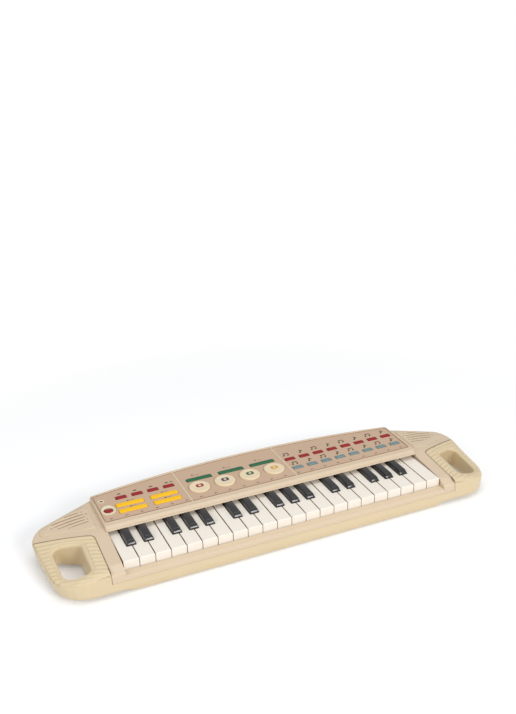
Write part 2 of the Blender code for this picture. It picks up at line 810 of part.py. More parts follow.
def upper_case(form, hollow, material):
    """Deck, cheeks, speaker wings, lip and hood in one thin moulding."""
    case = form.copy()
    case.data = form.data.copy()
    case.name = "upper_case"
    CUTTERS.objects.link(case)
    keep_common(case, plate("deck_plan", [deck_outline()], PARTING + PIECE_GAP, HIGH))
    join(case, hood())
    cut(case, hollow)
    core = housing_form("housing_core", WALL / 2)
    join(case, key_surround(core), speaker_well(-1, core), speaker_well(1, core))
    cut(case, hood_hollow())
    cut(case, lip_space())
    key_slot = box(
        "key_slot",
        (-KEYBED_HALF - KEY_SLOT_GAP / 2, KEYS_Y - KEY_GAP, LOW),
        (KEYBED_HALF + KEY_SLOT_GAP / 2, KEYS_Y + HOOD_FRONT + 0.0100, KEY_TOP + HOOD_CLEARANCE),
    )
    cut(case, key_slot)
    cut(case, plate("panel_recess", [offset_loop(panel_loop(), -PIECE_GAP)], PANEL_UNDER - PIECE_GAP, HIGH))
    cut(case, plate("hood_window", [panel_loop(PANEL_LEDGE)], PARTING, HIGH))
    for side in (-1, 1):
        cut(case, *speaker_slots(side))
    use_manifold(case)
    part = baked(case, "upper_case", material)
    shade_round(part)
    return part


# Keys

def key_outline(left, right, front, tail):
    """A key seen from above about its hinge: (left, right) the head's sides and (tail) its tail's."""
    back = KEY_LENGTH - HINGE_BACK
    neck = front + WHITE_HEAD - BLACK_CLEARANCE
    points = [(left, front), (right, front), (right, neck)]
    if tail[1] < right:
        points.append((tail[1], neck))
    points += [(tail[1], back), (tail[0], back)]
    if tail[0] > left:
        points.append((tail[0], neck))
    points.append((left, neck))
    distinct = [point for index, point in enumerate(points) if point != points[index - 1]]
    return [Vector(point) for point in distinct]


def hinge_cutters(name, depth):
    """The half-round seat over the hinge ridge, and the space under the tail that lets the key rock."""
    seat = rod_along_x(f"{name}_seat", 0.0, 0.0, 0.0600, HINGE_RADIUS + PIECE_GAP, 12)
    under = box(f"{name}_under", (-0.0300, -TAIL_BLOCK, -depth - 0.0100), (0.0300, 0.0500, 0.0))
    return seat, under


def key_pocket(name, loop, floor):
    """The open underside: the key's outline moved in by its wall, up to its top plate and tail block."""
    inner = offset_loop(loop, KEY_WALL)
    last = -TAIL_BLOCK - KEY_WALL
    inner = [Vector((point.x, min(point.y, last))) for point in inner]
    return plate(name, [inner], LOW, floor)


def white_key_mesh(letter, tail, material):
    """One white key about its hinge axis: a thin-walled moulding with a plunger for its contact."""
    top = HINGE_DROP
    half = (KEY_PITCH - KEY_GAP) / 2
    loop = key_outline(-half, half, -HINGE_BACK, tail)
    body = plate(f"white_{letter}", [loop], top - WHITE_HEIGHT, top)
    soften(body, KEY_EDGE, 2, WHITE_HEIGHT / 2 - 0.0001)
    middle = sum(tail) / 2
    plunger_y = PLUNGER_BACK - HINGE_BACK
    plunger = box(
        f"white_{letter}_plunger",
        (middle - 0.0015, plunger_y - 0.0030, top - PLUNGER_DROP),
        (middle + 0.0015, plunger_y + 0.0030, top - KEY_WALL / 2),
    )
    cut(body, key_pocket(f"white_{letter}_pocket", loop, top - KEY_WALL))
    cut(body, *hinge_cutters(f"white_{letter}", WHITE_HEIGHT))
    join(body, plunger)
    return shared_mesh(body, f"white_key_{letter}", material)


def shared_mesh(item, name, material):
    """The finished mesh of a key, in the frame of its hinge, for all the keys of that shape."""
    place = item.matrix_world.copy()
    mesh = evaluated_mesh(item, name)
    mesh.transform(place)
    mesh.materials.append(material)
    bpy.data.objects.remove(item, do_unlink=True)
    return mesh


def black_key_mesh(material):
    """One black key about its hinge axis: a tapered cap with a sloped front, and a low tail behind it."""
    front = WHITE_HEAD - HINGE_BACK
    back = front + BLACK_REACH
    low_half = BLACK_WIDTH / 2
    top_half = BLACK_TOP_WIDTH / 2
    levels = (
        (low_half, front, back, HINGE_DROP - BLACK_DEPTH),
        (low_half, front, back, HINGE_DROP),
        (low_half - 0.0003, front + 0.0001, back, HINGE_DROP + BLACK_SILL),
        (top_half + 0.0004, front + 0.0026, back - 0.0003, HINGE_DROP + BLACK_RISE - 0.0011),
        (top_half, front + 0.0033, back - 0.0005, HINGE_DROP + BLACK_RISE - 0.0004),
        (top_half - 0.0006, front + 0.0040, back - 0.0008, HINGE_DROP + BLACK_RISE),
    )
    rings = []
    for half, near, far, z in levels:
        rings.append([(-half, near, z), (half, near, z), (half, far, z), (-half, far, z)])
    body = loft("black_cap", rings)
    tail_half = low_half - 0.0003
    tail = box(
        "black_tail",
        (-tail_half, back - 0.0040, HINGE_DROP - BLACK_DEPTH + 0.0004),
        (tail_half, KEY_LENGTH - HINGE_BACK, HINGE_DROP - 0.0004),
    )
    join(body, tail)
    inner_half = low_half - KEY_WALL
    inner_length = -TAIL_BLOCK - front - 2 * KEY_WALL
    pocket = rectangle(0, (front - TAIL_BLOCK) / 2, 2 * inner_half, inner_length)
    cut(body, plate("black_pocket", [pocket], LOW, HINGE_DROP - KEY_WALL))
    cut(body, *hinge_cutters("black", BLACK_DEPTH))
    plunger_y = PLUNGER_BACK - HINGE_BACK
    join(body, box(
        "black_plunger",
        (-0.0015, plunger_y - 0.0030, HINGE_DROP - PLUNGER_DROP),
        (0.0015, plunger_y + 0.0030, HINGE_DROP - KEY_WALL / 2),
    ))
    return shared_mesh(body, "black_key", material)


def black_centre(boundary):
    """Where the black key that stands over a boundary between white keys has its middle, or None."""
    shift = BLACK_SHIFTS.get((boundary - 1) % 7)
    if shift is None or boundary <= 0 or boundary >= WHITE_COUNT:
        return None
    return boundary * KEY_PITCH - KEYBED_HALF + shift


def tail_sides(index):
    """The sides of a white key's tail, about the key's middle, clear of the black keys beside it."""
    middle = (index + 0.5) * KEY_PITCH - KEYBED_HALF
    half = (KEY_PITCH - KEY_GAP) / 2
    clear = BLACK_WIDTH / 2 + BLACK_CLEARANCE
    before = black_centre(index)
    after = black_centre(index + 1)
    left = -half if before is None else before + clear - middle
    right = half if after is None else after - clear - middle
    return round(left, 6), round(right, 6)


def keys(white, black):
    """All the keys, low to high, each with its origin on the hinge axis."""
    meshes = {}
    for index in range(WHITE_COUNT):
        tail = tail_sides(index)
        if tail not in meshes:
            meshes[tail] = white_key_mesh("abcdefgh"[len(meshes)], tail, white)
        key = add_object(f"white_key_{index + 1:02d}", meshes[tail], white)
        key.location = ((index + 0.5) * KEY_PITCH - KEYBED_HALF, HINGE_Y, HINGE_Z)
    mesh = black_key_mesh(black)
    centres = [centre for centre in map(black_centre, range(WHITE_COUNT)) if centre is not None]
    for number, centre in enumerate(centres):
        key = add_object(f"black_key_{number + 1:02d}", mesh, black)
        key.location = (centre, HINGE_Y, HINGE_Z)


# Control panel and what moves in it

def section(number):
    """The left and right ends of one of the panel's three sections."""
    edges = (0.0, *PANEL_SPLIT, 1.0)
    return tuple(PANEL_HALF * (2 * edges[number + step] - 1) for step in (0, 1))


def row_centres(number, count, before, after):
    """Even places along a section, with the margins kept before the first and after the last."""
    left, right = section(number)
    left += before
    right -= after
    return [left + (right - left) * (index + 0.5) / count for index in range(count)]


def button_places():
    """The middle of each button: a name for each moving piece, and the plan places and size of its caps."""
    small_red = row_centres(0, 4, 0.0224, 0.0048)
    bars = row_centres(0, 2, 0.0170, 0.0048)
    greens = row_centres(1, 3, 0.0042, 0.0057)
    right = row_centres(2, 8, 0.0000, 0.0010)
    pieces = {"left_red_buttons": ([(x, RED_ROW) for x in small_red], SMALL_BUTTON)}
    for name, x in zip(("yellow_bars_left", "yellow_bars_right"), bars):
        pieces[name] = ([(x, row) for row in YELLOW_ROWS], YELLOW_BAR)
    for name, x in zip(("green_bar_left", "green_bar_middle", "green_bar_right"), greens):
        pieces[name] = ([(x, GREEN_ROW)], GREEN_BAR)
    pieces["right_red_buttons"] = ([(x, RIGHT_RED_ROW) for x in right], SMALL_BUTTON)
    pieces["right_blue_buttons"] = ([(x, RIGHT_BLUE_ROW) for x in right], SMALL_BUTTON)
    return pieces


def pad_places():
    return [(x, PANEL_FRONT_Y + PAD_ROW) for x in row_centres(1, 4, 0.0018, 0.0025)]


def switch_place():
    return section(0)[0] + 0.0100, PANEL_FRONT_Y + SWITCH_ROW


def lamp_place():
    return section(0)[0] + 0.0075, PANEL_FRONT_Y + LAMP_ROW


def control_panel(material):
    """The printed panel: a thin plate with a window for each button, pad, the lamp and the power switch."""
    loops = [panel_loop()]
    for places, (width, depth) in button_places().values():
        for x, row in places:
            size = (width + 2 * BUTTON_CLEARANCE, depth + 2 * BUTTON_CLEARANCE)
            loops.append(rectangle(x, PANEL_FRONT_Y + row, *size))
    for x, y in pad_places():
        loops.append(circle(x, y, PAD_RADIUS + BUTTON_CLEARANCE))
    lamp = [value + 2 * PIECE_GAP for value in LAMP_SIZE]
    loops.append(rectangle(*lamp_place(), *lamp))
    panel = plate("control_panel", loops, PANEL_UNDER, PANEL_TOP)
    ring = circle(*switch_place(), SWITCH_RING_RADIUS)
    join(panel, plate("switch_ring", [ring], PANEL_UNDER + 0.0004, PANEL_TOP + SWITCH_RING_RISE))
    cut(panel, plate("switch_well", [circle(*switch_place(), SWITCH_WELL_RADIUS)], PARTING, HIGH))
    use_manifold(panel)
    return baked(panel, "control_panel", material)


def button_piece(name, places, size, material):
    """A row of caps on one carrier under the panel, with a leg down to the board at each cap."""
    xs = [x for x, _ in places]
    rows = [PANEL_FRONT_Y + row for _, row in places]
    cap_top = PANEL_TOP + BUTTON_RISE
    width, depth = size
    low = (min(xs) - width / 2 - FLANGE_LIP, min(rows) - depth / 2 - FLANGE_LIP, FLANGE_TOP - FLANGE)
    high = (max(xs) + width / 2 + FLANGE_LIP, max(rows) + depth / 2 + FLANGE_LIP, FLANGE_TOP)
    carrier = box(f"{name}_carrier", low, high)
    for number, (x, row) in enumerate(places):
        y = PANEL_FRONT_Y + row
        rings = []
        for inset, z in ((0.0, FLANGE_TOP - FLANGE / 2), (0.0, cap_top - 0.0005), (0.0005, cap_top)):
            loop = rectangle(x, y, width - 2 * inset, depth - 2 * inset)
            rings.append([(*point, z) for point in loop])
        leg = post(f"{name}_leg_{number}", x, y, LEG_END, FLANGE_TOP - FLANGE / 2, 0.0020, 6)
        join(carrier, loft(f"{name}_cap_{number}", rings), leg)
    return baked(carrier, name, material)


def drum_pad(name, place, material):
    """A round pad: a shallow dished cap with a rolled edge, a flange under the panel and a leg."""
    top = PANEL_TOP + PAD_RISE
    profile = [
        (0.0, top - 0.0004),
        (PAD_RADIUS - 0.0030, top),
        (PAD_RADIUS - 0.0008, top - 0.0004),
        (PAD_RADIUS, top - 0.0014),
        (PAD_RADIUS, FLANGE_TOP),
        (PAD_RADIUS + FLANGE_LIP, FLANGE_TOP),
        (PAD_RADIUS + FLANGE_LIP, FLANGE_TOP - FLANGE),
        (0.0035, FLANGE_TOP - FLANGE),
        (0.0035, LEG_END),
        (0.0, LEG_END),
    ]
    return turned(name, profile, (*place, 0.0), material)


def power_switch(material):
    """The sliding knob and the plate under the panel that carries it; it rests at its front end."""
    x, y = switch_place()
    width, depth = SWITCH_KNOB
    rest_y = y - SWITCH_TRAVEL / 2
    knob_loop = rectangle(x, rest_y, width, depth, 0.0022)
    knob_top = PANEL_TOP + SWITCH_RING_RISE + 0.0008
    knob = plate("power_switch", [knob_loop], FLANGE_TOP - FLANGE / 2, knob_top)
    half = SWITCH_WELL_RADIUS + 0.0008
    reach = SWITCH_WELL_RADIUS + SWITCH_TRAVEL / 2 + 0.0008
    low = FLANGE_TOP - FLANGE
    slider = box("switch_slider", (x - half, rest_y - reach, low), (x + half, rest_y + reach, FLANGE_TOP))
    leg_low = (x - 0.0030, rest_y - 0.0030, BOARD_TOP + PIECE_GAP)
    leg = box("switch_leg", leg_low, (x + 0.0030, rest_y + 0.0030, FLANGE_TOP - FLANGE / 2))
    join(knob, slider, leg)
    return baked(knob, "power_switch", material)


# Inside pieces

def key_rail(material):
    """The rail across the housing that all the keys rock on: a foot, a web and a round ridge."""
    foot_width, foot_height = RAIL_FOOT
    foot_z = FLOOR_TOP + PIECE_GAP
    half_foot = foot_width / 2
    half_web = RAIL_WEB / 2
    shoulder = math.asin(half_web / HINGE_RADIUS)
    points = [
        (HINGE_Y - half_foot, foot_z),
        (HINGE_Y + half_foot, foot_z),
        (HINGE_Y + half_foot, foot_z + foot_height),
        (HINGE_Y + half_web, foot_z + foot_height),
    ]
    for step in range(9):
        turn = -math.pi / 2 + shoulder + (2 * math.pi - 2 * shoulder) * step / 8
        points.append((HINGE_Y + HINGE_RADIUS * math.cos(turn), HINGE_Z + HINGE_RADIUS * math.sin(turn)))
    points += [(HINGE_Y - half_web, foot_z + foot_height), (HINGE_Y - half_foot, foot_z + foot_height)]
    return side_profile("key_rail", points, 2 * (KEYBED_HALF - RAIL_SHORT), material)


def circuit_board(material):
    """The board under the buttons."""
    span = PANEL_HALF - PANEL_LEDGE - 0.0020
    front = PANEL_FRONT_Y + 0.0095
    back = PANEL_FRONT_Y + 0.0600
    loop = rectangle(0, (front + back) / 2, 2 * span, back - front)
    board = plate("circuit_board", [loop], BOARD_TOP - BOARD_THICKNESS, BOARD_TOP, material)
    return board


def power_lamp(material):
    """The indicator that stands on the board and shows through the panel's small window."""
    x, y = lamp_place()
    width, depth = LAMP_SIZE
    base = BOARD_TOP + PIECE_GAP
    collar = FLANGE_TOP - FLANGE
    top = PANEL_TOP + PIECE_GAP
    lamp = box("power_lamp", (x - width / 2, y - depth / 2, base), (x + width / 2, y + depth / 2, top))
    foot = box("lamp_collar", (x - width, y - depth, base), (x + width, y + depth, collar))
    join(lamp, foot)
    return baked(lamp, "power_lamp", material)


def contact_board(material):
    """The long board under the keys, which their plungers press."""
    near, far = (KEYS_Y + value for value in CONTACT_BOARD_SPAN)
    half = KEYBED_HALF - 0.0060
    low = (-half, near, CONTACT_BOARD_TOP - BOARD_THICKNESS)
    return box("contact_board", low, (half, far, CONTACT_BOARD_TOP), material)


def speaker(name, side, material):
    """A loudspeaker: rim, tapered basket and magnet, hung face up under its slots."""
    radius = SPEAKER_RADIUS
    profile = [
        (0.0, SPEAKER_TOP - 0.0060),
        (0.0060, SPEAKER_TOP - 0.0050),
        (radius - 0.0030, SPEAKER_TOP - 0.0010),
        (radius - 0.0025, SPEAKER_TOP),
        (radius, SPEAKER_TOP),
        (radius, SPEAKER_TOP - 0.0016),
        (radius - 0.0020, SPEAKER_TOP - 0.0024),
        (MAGNET_RADIUS, SPEAKER_TOP - 0.0090),
        (MAGNET_RADIUS, SPEAKER_TOP - SPEAKER_DEPTH),
        (0.0, SPEAKER_TOP - SPEAKER_DEPTH),
    ]
    return turned(name, profile, (side * SPEAKER_OUT, KEYS_Y + SPEAKER_BACK, 0.0), material)


def battery_door(material):
    """The door flush with the base, on the ledge round the battery bay."""
    bay_x, bay_y, _ = BATTERY_BAY
    size = (bay_x + 2 * DOOR_LEDGE - 2 * PIECE_GAP, bay_y + 2 * DOOR_LEDGE - 2 * PIECE_GAP)
    loop = rectangle(0, BATTERY_Y, *size)
    return plate("battery_door", [loop], FOOT_HEIGHT, FOOT_HEIGHT + DOOR_THICKNESS, material)


def main():
    cream = new_material("cream_plastic", (0.72, 0.60, 0.40), 0.45)
    beige = new_material("beige_plastic", (0.72, 0.57, 0.44), 0.45)
    tan = new_material("panel_tan", (0.66, 0.46, 0.33), 0.5)
    ivory = new_material("ivory_plastic", (0.88, 0.84, 0.78), 0.3)
    charcoal = new_material("charcoal_plastic", (0.04, 0.04, 0.045), 0.35)
    red = new_material("red_plastic", (0.42, 0.03, 0.04), 0.4)
    blue = new_material("blue_grey_plastic", (0.20, 0.32, 0.36), 0.4)
    yellow = new_material("yellow_plastic", (0.90, 0.50, 0.02), 0.4)
    green = new_material("green_plastic", (0.03, 0.20, 0.11), 0.4)
    pad_cream = new_material("pad_cream", (0.85, 0.75, 0.52), 0.5)
    board_green = new_material("board_green", (0.05, 0.22, 0.10), 0.6)
    lamp_dark = new_material("lamp_dark", (0.05, 0.02, 0.02), 0.2)
    metal = new_material("speaker_metal", (0.35, 0.35, 0.36), 0.4, 0.8)
    rail_grey = new_material("rail_plastic", (0.45, 0.42, 0.38), 0.6)
    colours = {
        "left_red_buttons": red,
        "yellow_bars_left": yellow,
        "yellow_bars_right": yellow,
        "green_bar_left": green,
        "green_bar_middle": green,
        "green_bar_right": green,
        "right_red_buttons": red,
        "right_blue_buttons": blue,
    }
    form = housing_form("housing_form")
    hollow = housing_hollow()
    lower_case(form, hollow, cream)
    upper_case(form, hollow, beige)
    keys(ivory, charcoal)
    control_panel(tan)
    for name, (places, size) in button_places().items():
        button_piece(name, places, size, colours[name])
    for number, place in enumerate(pad_places()):
        drum_pad(f"drum_pad_{number + 1}", place, pad_cream)
    power_switch(red)
    key_rail(rail_grey)
    circuit_board(board_green)
    power_lamp(lamp_dark)
    contact_board(board_green)
    speaker("speaker_left", -1, metal)
    speaker("speaker_right", 1, metal)
    battery_door(cream)


main()
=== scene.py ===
"""Looks of the portable toy keyboard: camera, light, moulded plastics, ribbed handles and the printed panel.

Metres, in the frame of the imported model: +X towards the high notes, +Y to the back, +Z up, table at Z = 0.
"""

import math

import bpy
import numpy as np
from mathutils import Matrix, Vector
from mathutils.geometry import delaunay_2d_cdt


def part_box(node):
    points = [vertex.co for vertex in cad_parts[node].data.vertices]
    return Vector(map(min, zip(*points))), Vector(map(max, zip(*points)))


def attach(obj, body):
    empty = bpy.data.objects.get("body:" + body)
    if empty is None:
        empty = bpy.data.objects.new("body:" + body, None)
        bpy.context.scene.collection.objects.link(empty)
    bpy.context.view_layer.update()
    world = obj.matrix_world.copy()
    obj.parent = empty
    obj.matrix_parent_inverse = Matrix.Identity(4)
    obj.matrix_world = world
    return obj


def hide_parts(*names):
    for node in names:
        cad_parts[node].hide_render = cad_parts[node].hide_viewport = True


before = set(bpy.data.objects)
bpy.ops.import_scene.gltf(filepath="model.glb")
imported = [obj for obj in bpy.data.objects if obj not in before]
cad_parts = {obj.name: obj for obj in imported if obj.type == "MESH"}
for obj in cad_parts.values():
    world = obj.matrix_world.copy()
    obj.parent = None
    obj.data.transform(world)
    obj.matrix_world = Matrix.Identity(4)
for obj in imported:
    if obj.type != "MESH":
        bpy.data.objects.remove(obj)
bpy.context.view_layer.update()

# Camera, for a picture of 516 by 714 pixels whose taller side takes the sensor's width
CAMERA_PLACE = (-0.4216, -0.9720, 0.6662)
CAMERA_TURN_DEG = (67.160, 1.529, -23.775)
FOCAL_LENGTH_PX = 941.46
PICTURE_HEIGHT_PX = 714
SENSOR_MM = 36.0

# How much light of its own the table shows to the camera
TABLE_GLOW = 0.17

# Colours, as linear values
CREAM = (0.685, 0.552, 0.350)
BEIGE = (0.665, 0.528, 0.372)
PANEL_TAN = (0.570, 0.395, 0.270)
IVORY = (0.880, 0.815, 0.720)
# Painted shade for the white keys' upright side faces, in the gaps between keys
KEY_GAP_SHADE_BROWN = (0.340, 0.205, 0.105)
CHARCOAL = (0.022, 0.021, 0.022)
BUTTON_RED = (0.300, 0.018, 0.018)
BUTTON_BLUE = (0.170, 0.255, 0.260)
BUTTON_YELLOW = (0.930, 0.520, 0.008)
BUTTON_GREEN = (0.024, 0.130, 0.058)
PAD_CREAM = (0.780, 0.640, 0.430)
RING_CREAM = (0.740, 0.645, 0.465)
BOARD_GREEN = (0.030, 0.160, 0.070)
DARK_LENS = (0.020, 0.008, 0.008)
METAL_GREY = (0.300, 0.300, 0.310)
RAIL_GREY = (0.380, 0.350, 0.310)
DARK_INK = (0.030, 0.028, 0.020)
BROWN_INK = (0.150, 0.075, 0.050)
# Painted shade of the gap round the control panel
EDGE_SHADE_BROWN = (0.330, 0.195, 0.120)
# Painted shadow in the seam between the handles and the upper case
SEAM_SHADOW_BROWN = (0.190, 0.120, 0.070)
# Painted shade inside the speaker slots
SLOT_SHADE_BROWN = (0.360, 0.240, 0.155)
PRINT_RED = (0.330, 0.040, 0.035)
PRINT_INDIGO = (0.055, 0.055, 0.090)
PRINT_GREEN = (0.025, 0.130, 0.060)
PRINT_GOLD = (0.620, 0.340, 0.060)


def node_box(node):
    """The lowest and the highest corner of a CAD node, as arrays."""
    return tuple(np.array(corner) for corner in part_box(node))


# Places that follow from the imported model
KEY_GAP = 0.0008
KEY_PITCH = node_box("white_key_02")[0][0] - node_box("white_key_01")[0][0]
KEYS_Y = node_box("white_key_01")[0][1]
KEYBED_HALF = (node_box("white_key_22")[1][0] - node_box("white_key_01")[0][0] + KEY_GAP) / 2
FRONT_Y = node_box("lower_case")[0][1]
REAR_Y = node_box("lower_case")[1][1]
PANEL_FRONT_Y = KEYS_Y + 0.0740
PANEL_TOP = 0.0446
PANEL_HALF = 0.2137
PANEL_BACK_INSET = 0.0080
PANEL_SPLIT = (0.2620, 0.6010)
FLANGE_LIP = 0.0011
HOOD_TOP = 0.0450
HOOD_RIDGE = (KEYS_Y + 0.0606, 0.0426)
HOOD_RIDGE_HALF = 0.2140

# Push buttons: how many along and across, the size of a cap, and the radius of its corners
SMALL_CAP = (0.0140, 0.0064, 0.0016)
YELLOW_CAP = (0.0356, 0.0080, 0.0011)
GREEN_CAP = (0.0350, 0.0068, 0.0026)
BUTTON_ROWS = {
    "left_red_buttons": (4, 1, SMALL_CAP),
    "right_red_buttons": (8, 1, SMALL_CAP),
    "right_blue_buttons": (8, 1, SMALL_CAP),
    "yellow_bars_left": (1, 2, YELLOW_CAP),
    "yellow_bars_right": (1, 2, YELLOW_CAP),
    "green_bar_left": (1, 1, GREEN_CAP),
    "green_bar_middle": (1, 1, GREEN_CAP),
    "green_bar_right": (1, 1, GREEN_CAP),
}
CAP_ROLL = 0.0008
CARRIER = (0.0414, 0.0429)
LEG_RADIUS = 0.0020

# Power switch: its place behind its box's middle, the well, the ring and the knob's cap
SWITCH_REST = 0.00175
SWITCH_WELL = 0.00615
SWITCH_RING = 0.0092
SWITCH_RING_LONGER = 0.0030
SWITCH_RING_RISE = 0.00105
SWITCH_CAP = (0.0100, 0.0078, 0.0035)

# Drum pads and black keys
PAD_ROLL = 0.0014
PAD_DISH = 0.0005
PAD_LEG_RADIUS = 0.0030
PAD_FLANGE = (0.0414, 0.0429)
PAD_MARK = (0.0100, 0.0076)
PAD_MARK_SHIFT = (0.0010, 0.0018)
BLACK_RISE = 0.0055
BLACK_CAP_LENGTH = 0.0338

# The housing's form, as in the part
CHEEK = 0.0170
HANDLE_REACH = 0.0717
DECK_TOP = 0.0399
FRONT_SLOPE = 0.0990
CREASE_Y = KEYS_Y + 0.0668
END_CROWN_RADIUS = 0.2080
CROWN_FADE = 0.1900
ARCH_RADIUS = 1.1560
WING_FALL = 0.1380
SIDE_LEAN = 0.0840
FRONT_CORNER_RADIUS = 0.0425
TIP_RADIUS = 0.0260
EDGE_RADIUS = 0.0035
EDGE_DRAFT = 0.0010
SEAM_X = KEYBED_HALF + CHEEK
SEAM_BACK = 0.0629
SEAM_SLANT = 0.4850
SEAM_RADIUS = 0.0090
TIP_X = SEAM_X + HANDLE_REACH

# A handle's hole on top, and the slots over a speaker, outwards from the seam and back from the keys
HOLE_RIM = (
    (0.0188, 0.0050, 0.0055),
    (0.0490, 0.0050, 0.0180),
    (0.0520, 0.0722, 0.0070),
    (0.0190, 0.0562, 0.0070),
)
SLOT_SPANS = (
    (0.0064, 0.0235, 0.0020),
    (0.0012, 0.0410, -0.0025),
    (0.0000, 0.0391, 0.0425),
    (0.0025, 0.0355, -0.0010),
    (-0.0010, 0.0203, 0.0235),
)
SLOT_BACK = 0.1193
SLOT_PITCH = 0.0063
SLOT_WIDTH = 0.0020

# Ribs moulded on the handles
RIB_PITCH = 0.0064
RIB_HEIGHT = 0.00105
RIB_LIFT = 0.00006
RIB_SINK = 0.0006
RIB_FADE = 0.0012
RIB_FROM_SEAM = 0.0009
RIB_FROM_HOLE = 0.0042
RIB_FROM_FRONT = 0.0030
RIB_FRONT_EASE = 4.0
RIB_STEP_ALONG = 0.0010
RIB_THICKNESS = 0.0007

# The raised pad round the speaker slots: corners outwards from the middle, back from the keys, and radius
SPEAKER_PAD = (
    (0.2250, 0.0770, 0.0030),
    (0.2420, 0.0770, 0.0060),
    (0.2910, 0.1010, 0.0070),
    (0.2870, 0.1115, 0.0040),
    (0.2250, 0.1305, 0.0040),
)
SPEAKER_PAD_RISE = 0.0008

# The seam's painted shadow line, from inside to outside of the upper case's edge
SEAM_LINE = (-0.0001, 0.0008)
SEAM_LINE_INSIDE = 0.0010


# Camera and light

def add_camera():
    """The photograph's camera: placed, turned and given its focal length in millimetres of the sensor."""
    data = bpy.data.cameras.new("camera")
    data.sensor_width = SENSOR_MM
    data.lens = FOCAL_LENGTH_PX * SENSOR_MM / PICTURE_HEIGHT_PX
    data.clip_start = 0.01
    camera = bpy.data.objects.new("camera", data)
    camera.location = CAMERA_PLACE
    camera.rotation_euler = [math.radians(angle) for angle in CAMERA_TURN_DEG]
    bpy.context.scene.collection.objects.link(camera)
    bpy.context.scene.camera = camera


def add_lamp(name, place, aim, width, height, power, colour=(1.0, 1.0, 1.0)):
    data = bpy.data.lights.new(name, "AREA")
    data.shape = "ELLIPSE"
    data.size = width
    data.size_y = height
    data.energy = power
    data.color = colour
    lamp = bpy.data.objects.new(name, data)
    lamp.location = place
    lamp.rotation_euler = (Vector(aim) - Vector(place)).to_track_quat("-Z", "Y").to_euler()
    bpy.context.scene.collection.objects.link(lamp)


def add_studio():
    """A large soft lamp over the back, one from the left, a weak one from the front, and an even surround."""
    middle = (0.0, 0.0, 0.02)
    add_lamp("overhead", (0.15, 0.05, 1.60), middle, 1.5, 1.5, 7.6)
    add_lamp("left_side", (-1.45, -0.45, 0.85), middle, 1.0, 1.0, 6.0)
    add_lamp("front", (0.75, -2.66, 1.45), middle, 1.5, 0.9, 46.0)
    world = bpy.data.worlds.new("studio")
    bpy.context.scene.world = world
    world.use_nodes = True
    nodes = world.node_tree.nodes
    links = world.node_tree.links
    nodes.clear()
    path = nodes.new("ShaderNodeLightPath")
    seen = nodes.new("ShaderNodeMath")
    seen.operation = "MAXIMUM"
    lit = nodes.new("ShaderNodeBackground")
    lit.inputs["Color"].default_value = (0.95, 0.97, 1.0, 1.0)
    lit.inputs["Strength"].default_value = 0.50
    white = nodes.new("ShaderNodeBackground")
    white.inputs["Color"].default_value = (1.0, 1.0, 1.0, 1.0)
    mix = nodes.new("ShaderNodeMixShader")
    output = nodes.new("ShaderNodeOutputWorld")
    links.new(path.outputs["Is Camera Ray"], seen.inputs[0])
    links.new(path.outputs["Is Transmission Ray"], seen.inputs[1])
    links.new(seen.outputs[0], mix.inputs["Fac"])
    links.new(lit.outputs[0], mix.inputs[1])
    links.new(white.outputs[0], mix.inputs[2])
    links.new(mix.outputs[0], output.inputs["Surface"])


def add_floor():
    """A white table top: near the object its lit colour, which keeps the shadow, and past that plain white."""
    half = 6.0
    mesh = bpy.data.meshes.new("floor")
    corners = [(-half, -half, 0), (half, -half, 0), (half, half, 0), (-half, half, 0)]
    mesh.from_pydata(corners, [], [(0, 1, 2, 3)])
    floor = bpy.data.objects.new("floor", mesh)
    floor.location.z = -0.0002
    bpy.context.scene.collection.objects.link(floor)
    material = bpy.data.materials.new("white_table")
    material.use_nodes = True
    nodes = material.node_tree.nodes
    links = material.node_tree.links
    nodes.clear()
    diffuse = nodes.new("ShaderNodeBsdfDiffuse")
    diffuse.inputs["Color"].default_value = (0.86, 0.86, 0.86, 1.0)
    glow = nodes.new("ShaderNodeEmission")
    glow.inputs["Strength"].default_value = TABLE_GLOW
    both = nodes.new("ShaderNodeAddShader")
    white = nodes.new("ShaderNodeEmission")
    place = nodes.new("ShaderNodeTexCoord")
    reach = nodes.new("ShaderNodeVectorMath")
    reach.operation = "LENGTH"
    fade = nodes.new("ShaderNodeMapRange")
    fade.inputs["From Min"].default_value = 0.42
    fade.inputs["From Max"].default_value = 0.60
    far = nodes.new("ShaderNodeMixShader")
    path = nodes.new("ShaderNodeLightPath")
    seen = nodes.new("ShaderNodeMath")
    seen.operation = "MAXIMUM"
    mix = nodes.new("ShaderNodeMixShader")
    output = nodes.new("ShaderNodeOutputMaterial")
    links.new(diffuse.outputs[0], both.inputs[0])
    links.new(glow.outputs[0], both.inputs[1])
    links.new(place.outputs["Object"], reach.inputs[0])
    links.new(reach.outputs["Value"], fade.inputs["Value"])
    links.new(fade.outputs["Result"], far.inputs["Fac"])
    links.new(both.outputs[0], far.inputs[1])
    links.new(white.outputs[0], far.inputs[2])
    links.new(path.outputs["Is Camera Ray"], seen.inputs[0])
    links.new(path.outputs["Is Glossy Ray"], seen.inputs[1])
    links.new(seen.outputs[0], mix.inputs["Fac"])
    links.new(diffuse.outputs[0], mix.inputs[1])
    links.new(far.outputs[0], mix.inputs[2])
    links.new(mix.outputs[0], output.inputs["Surface"])
    mesh.materials.append(material)


# Materials

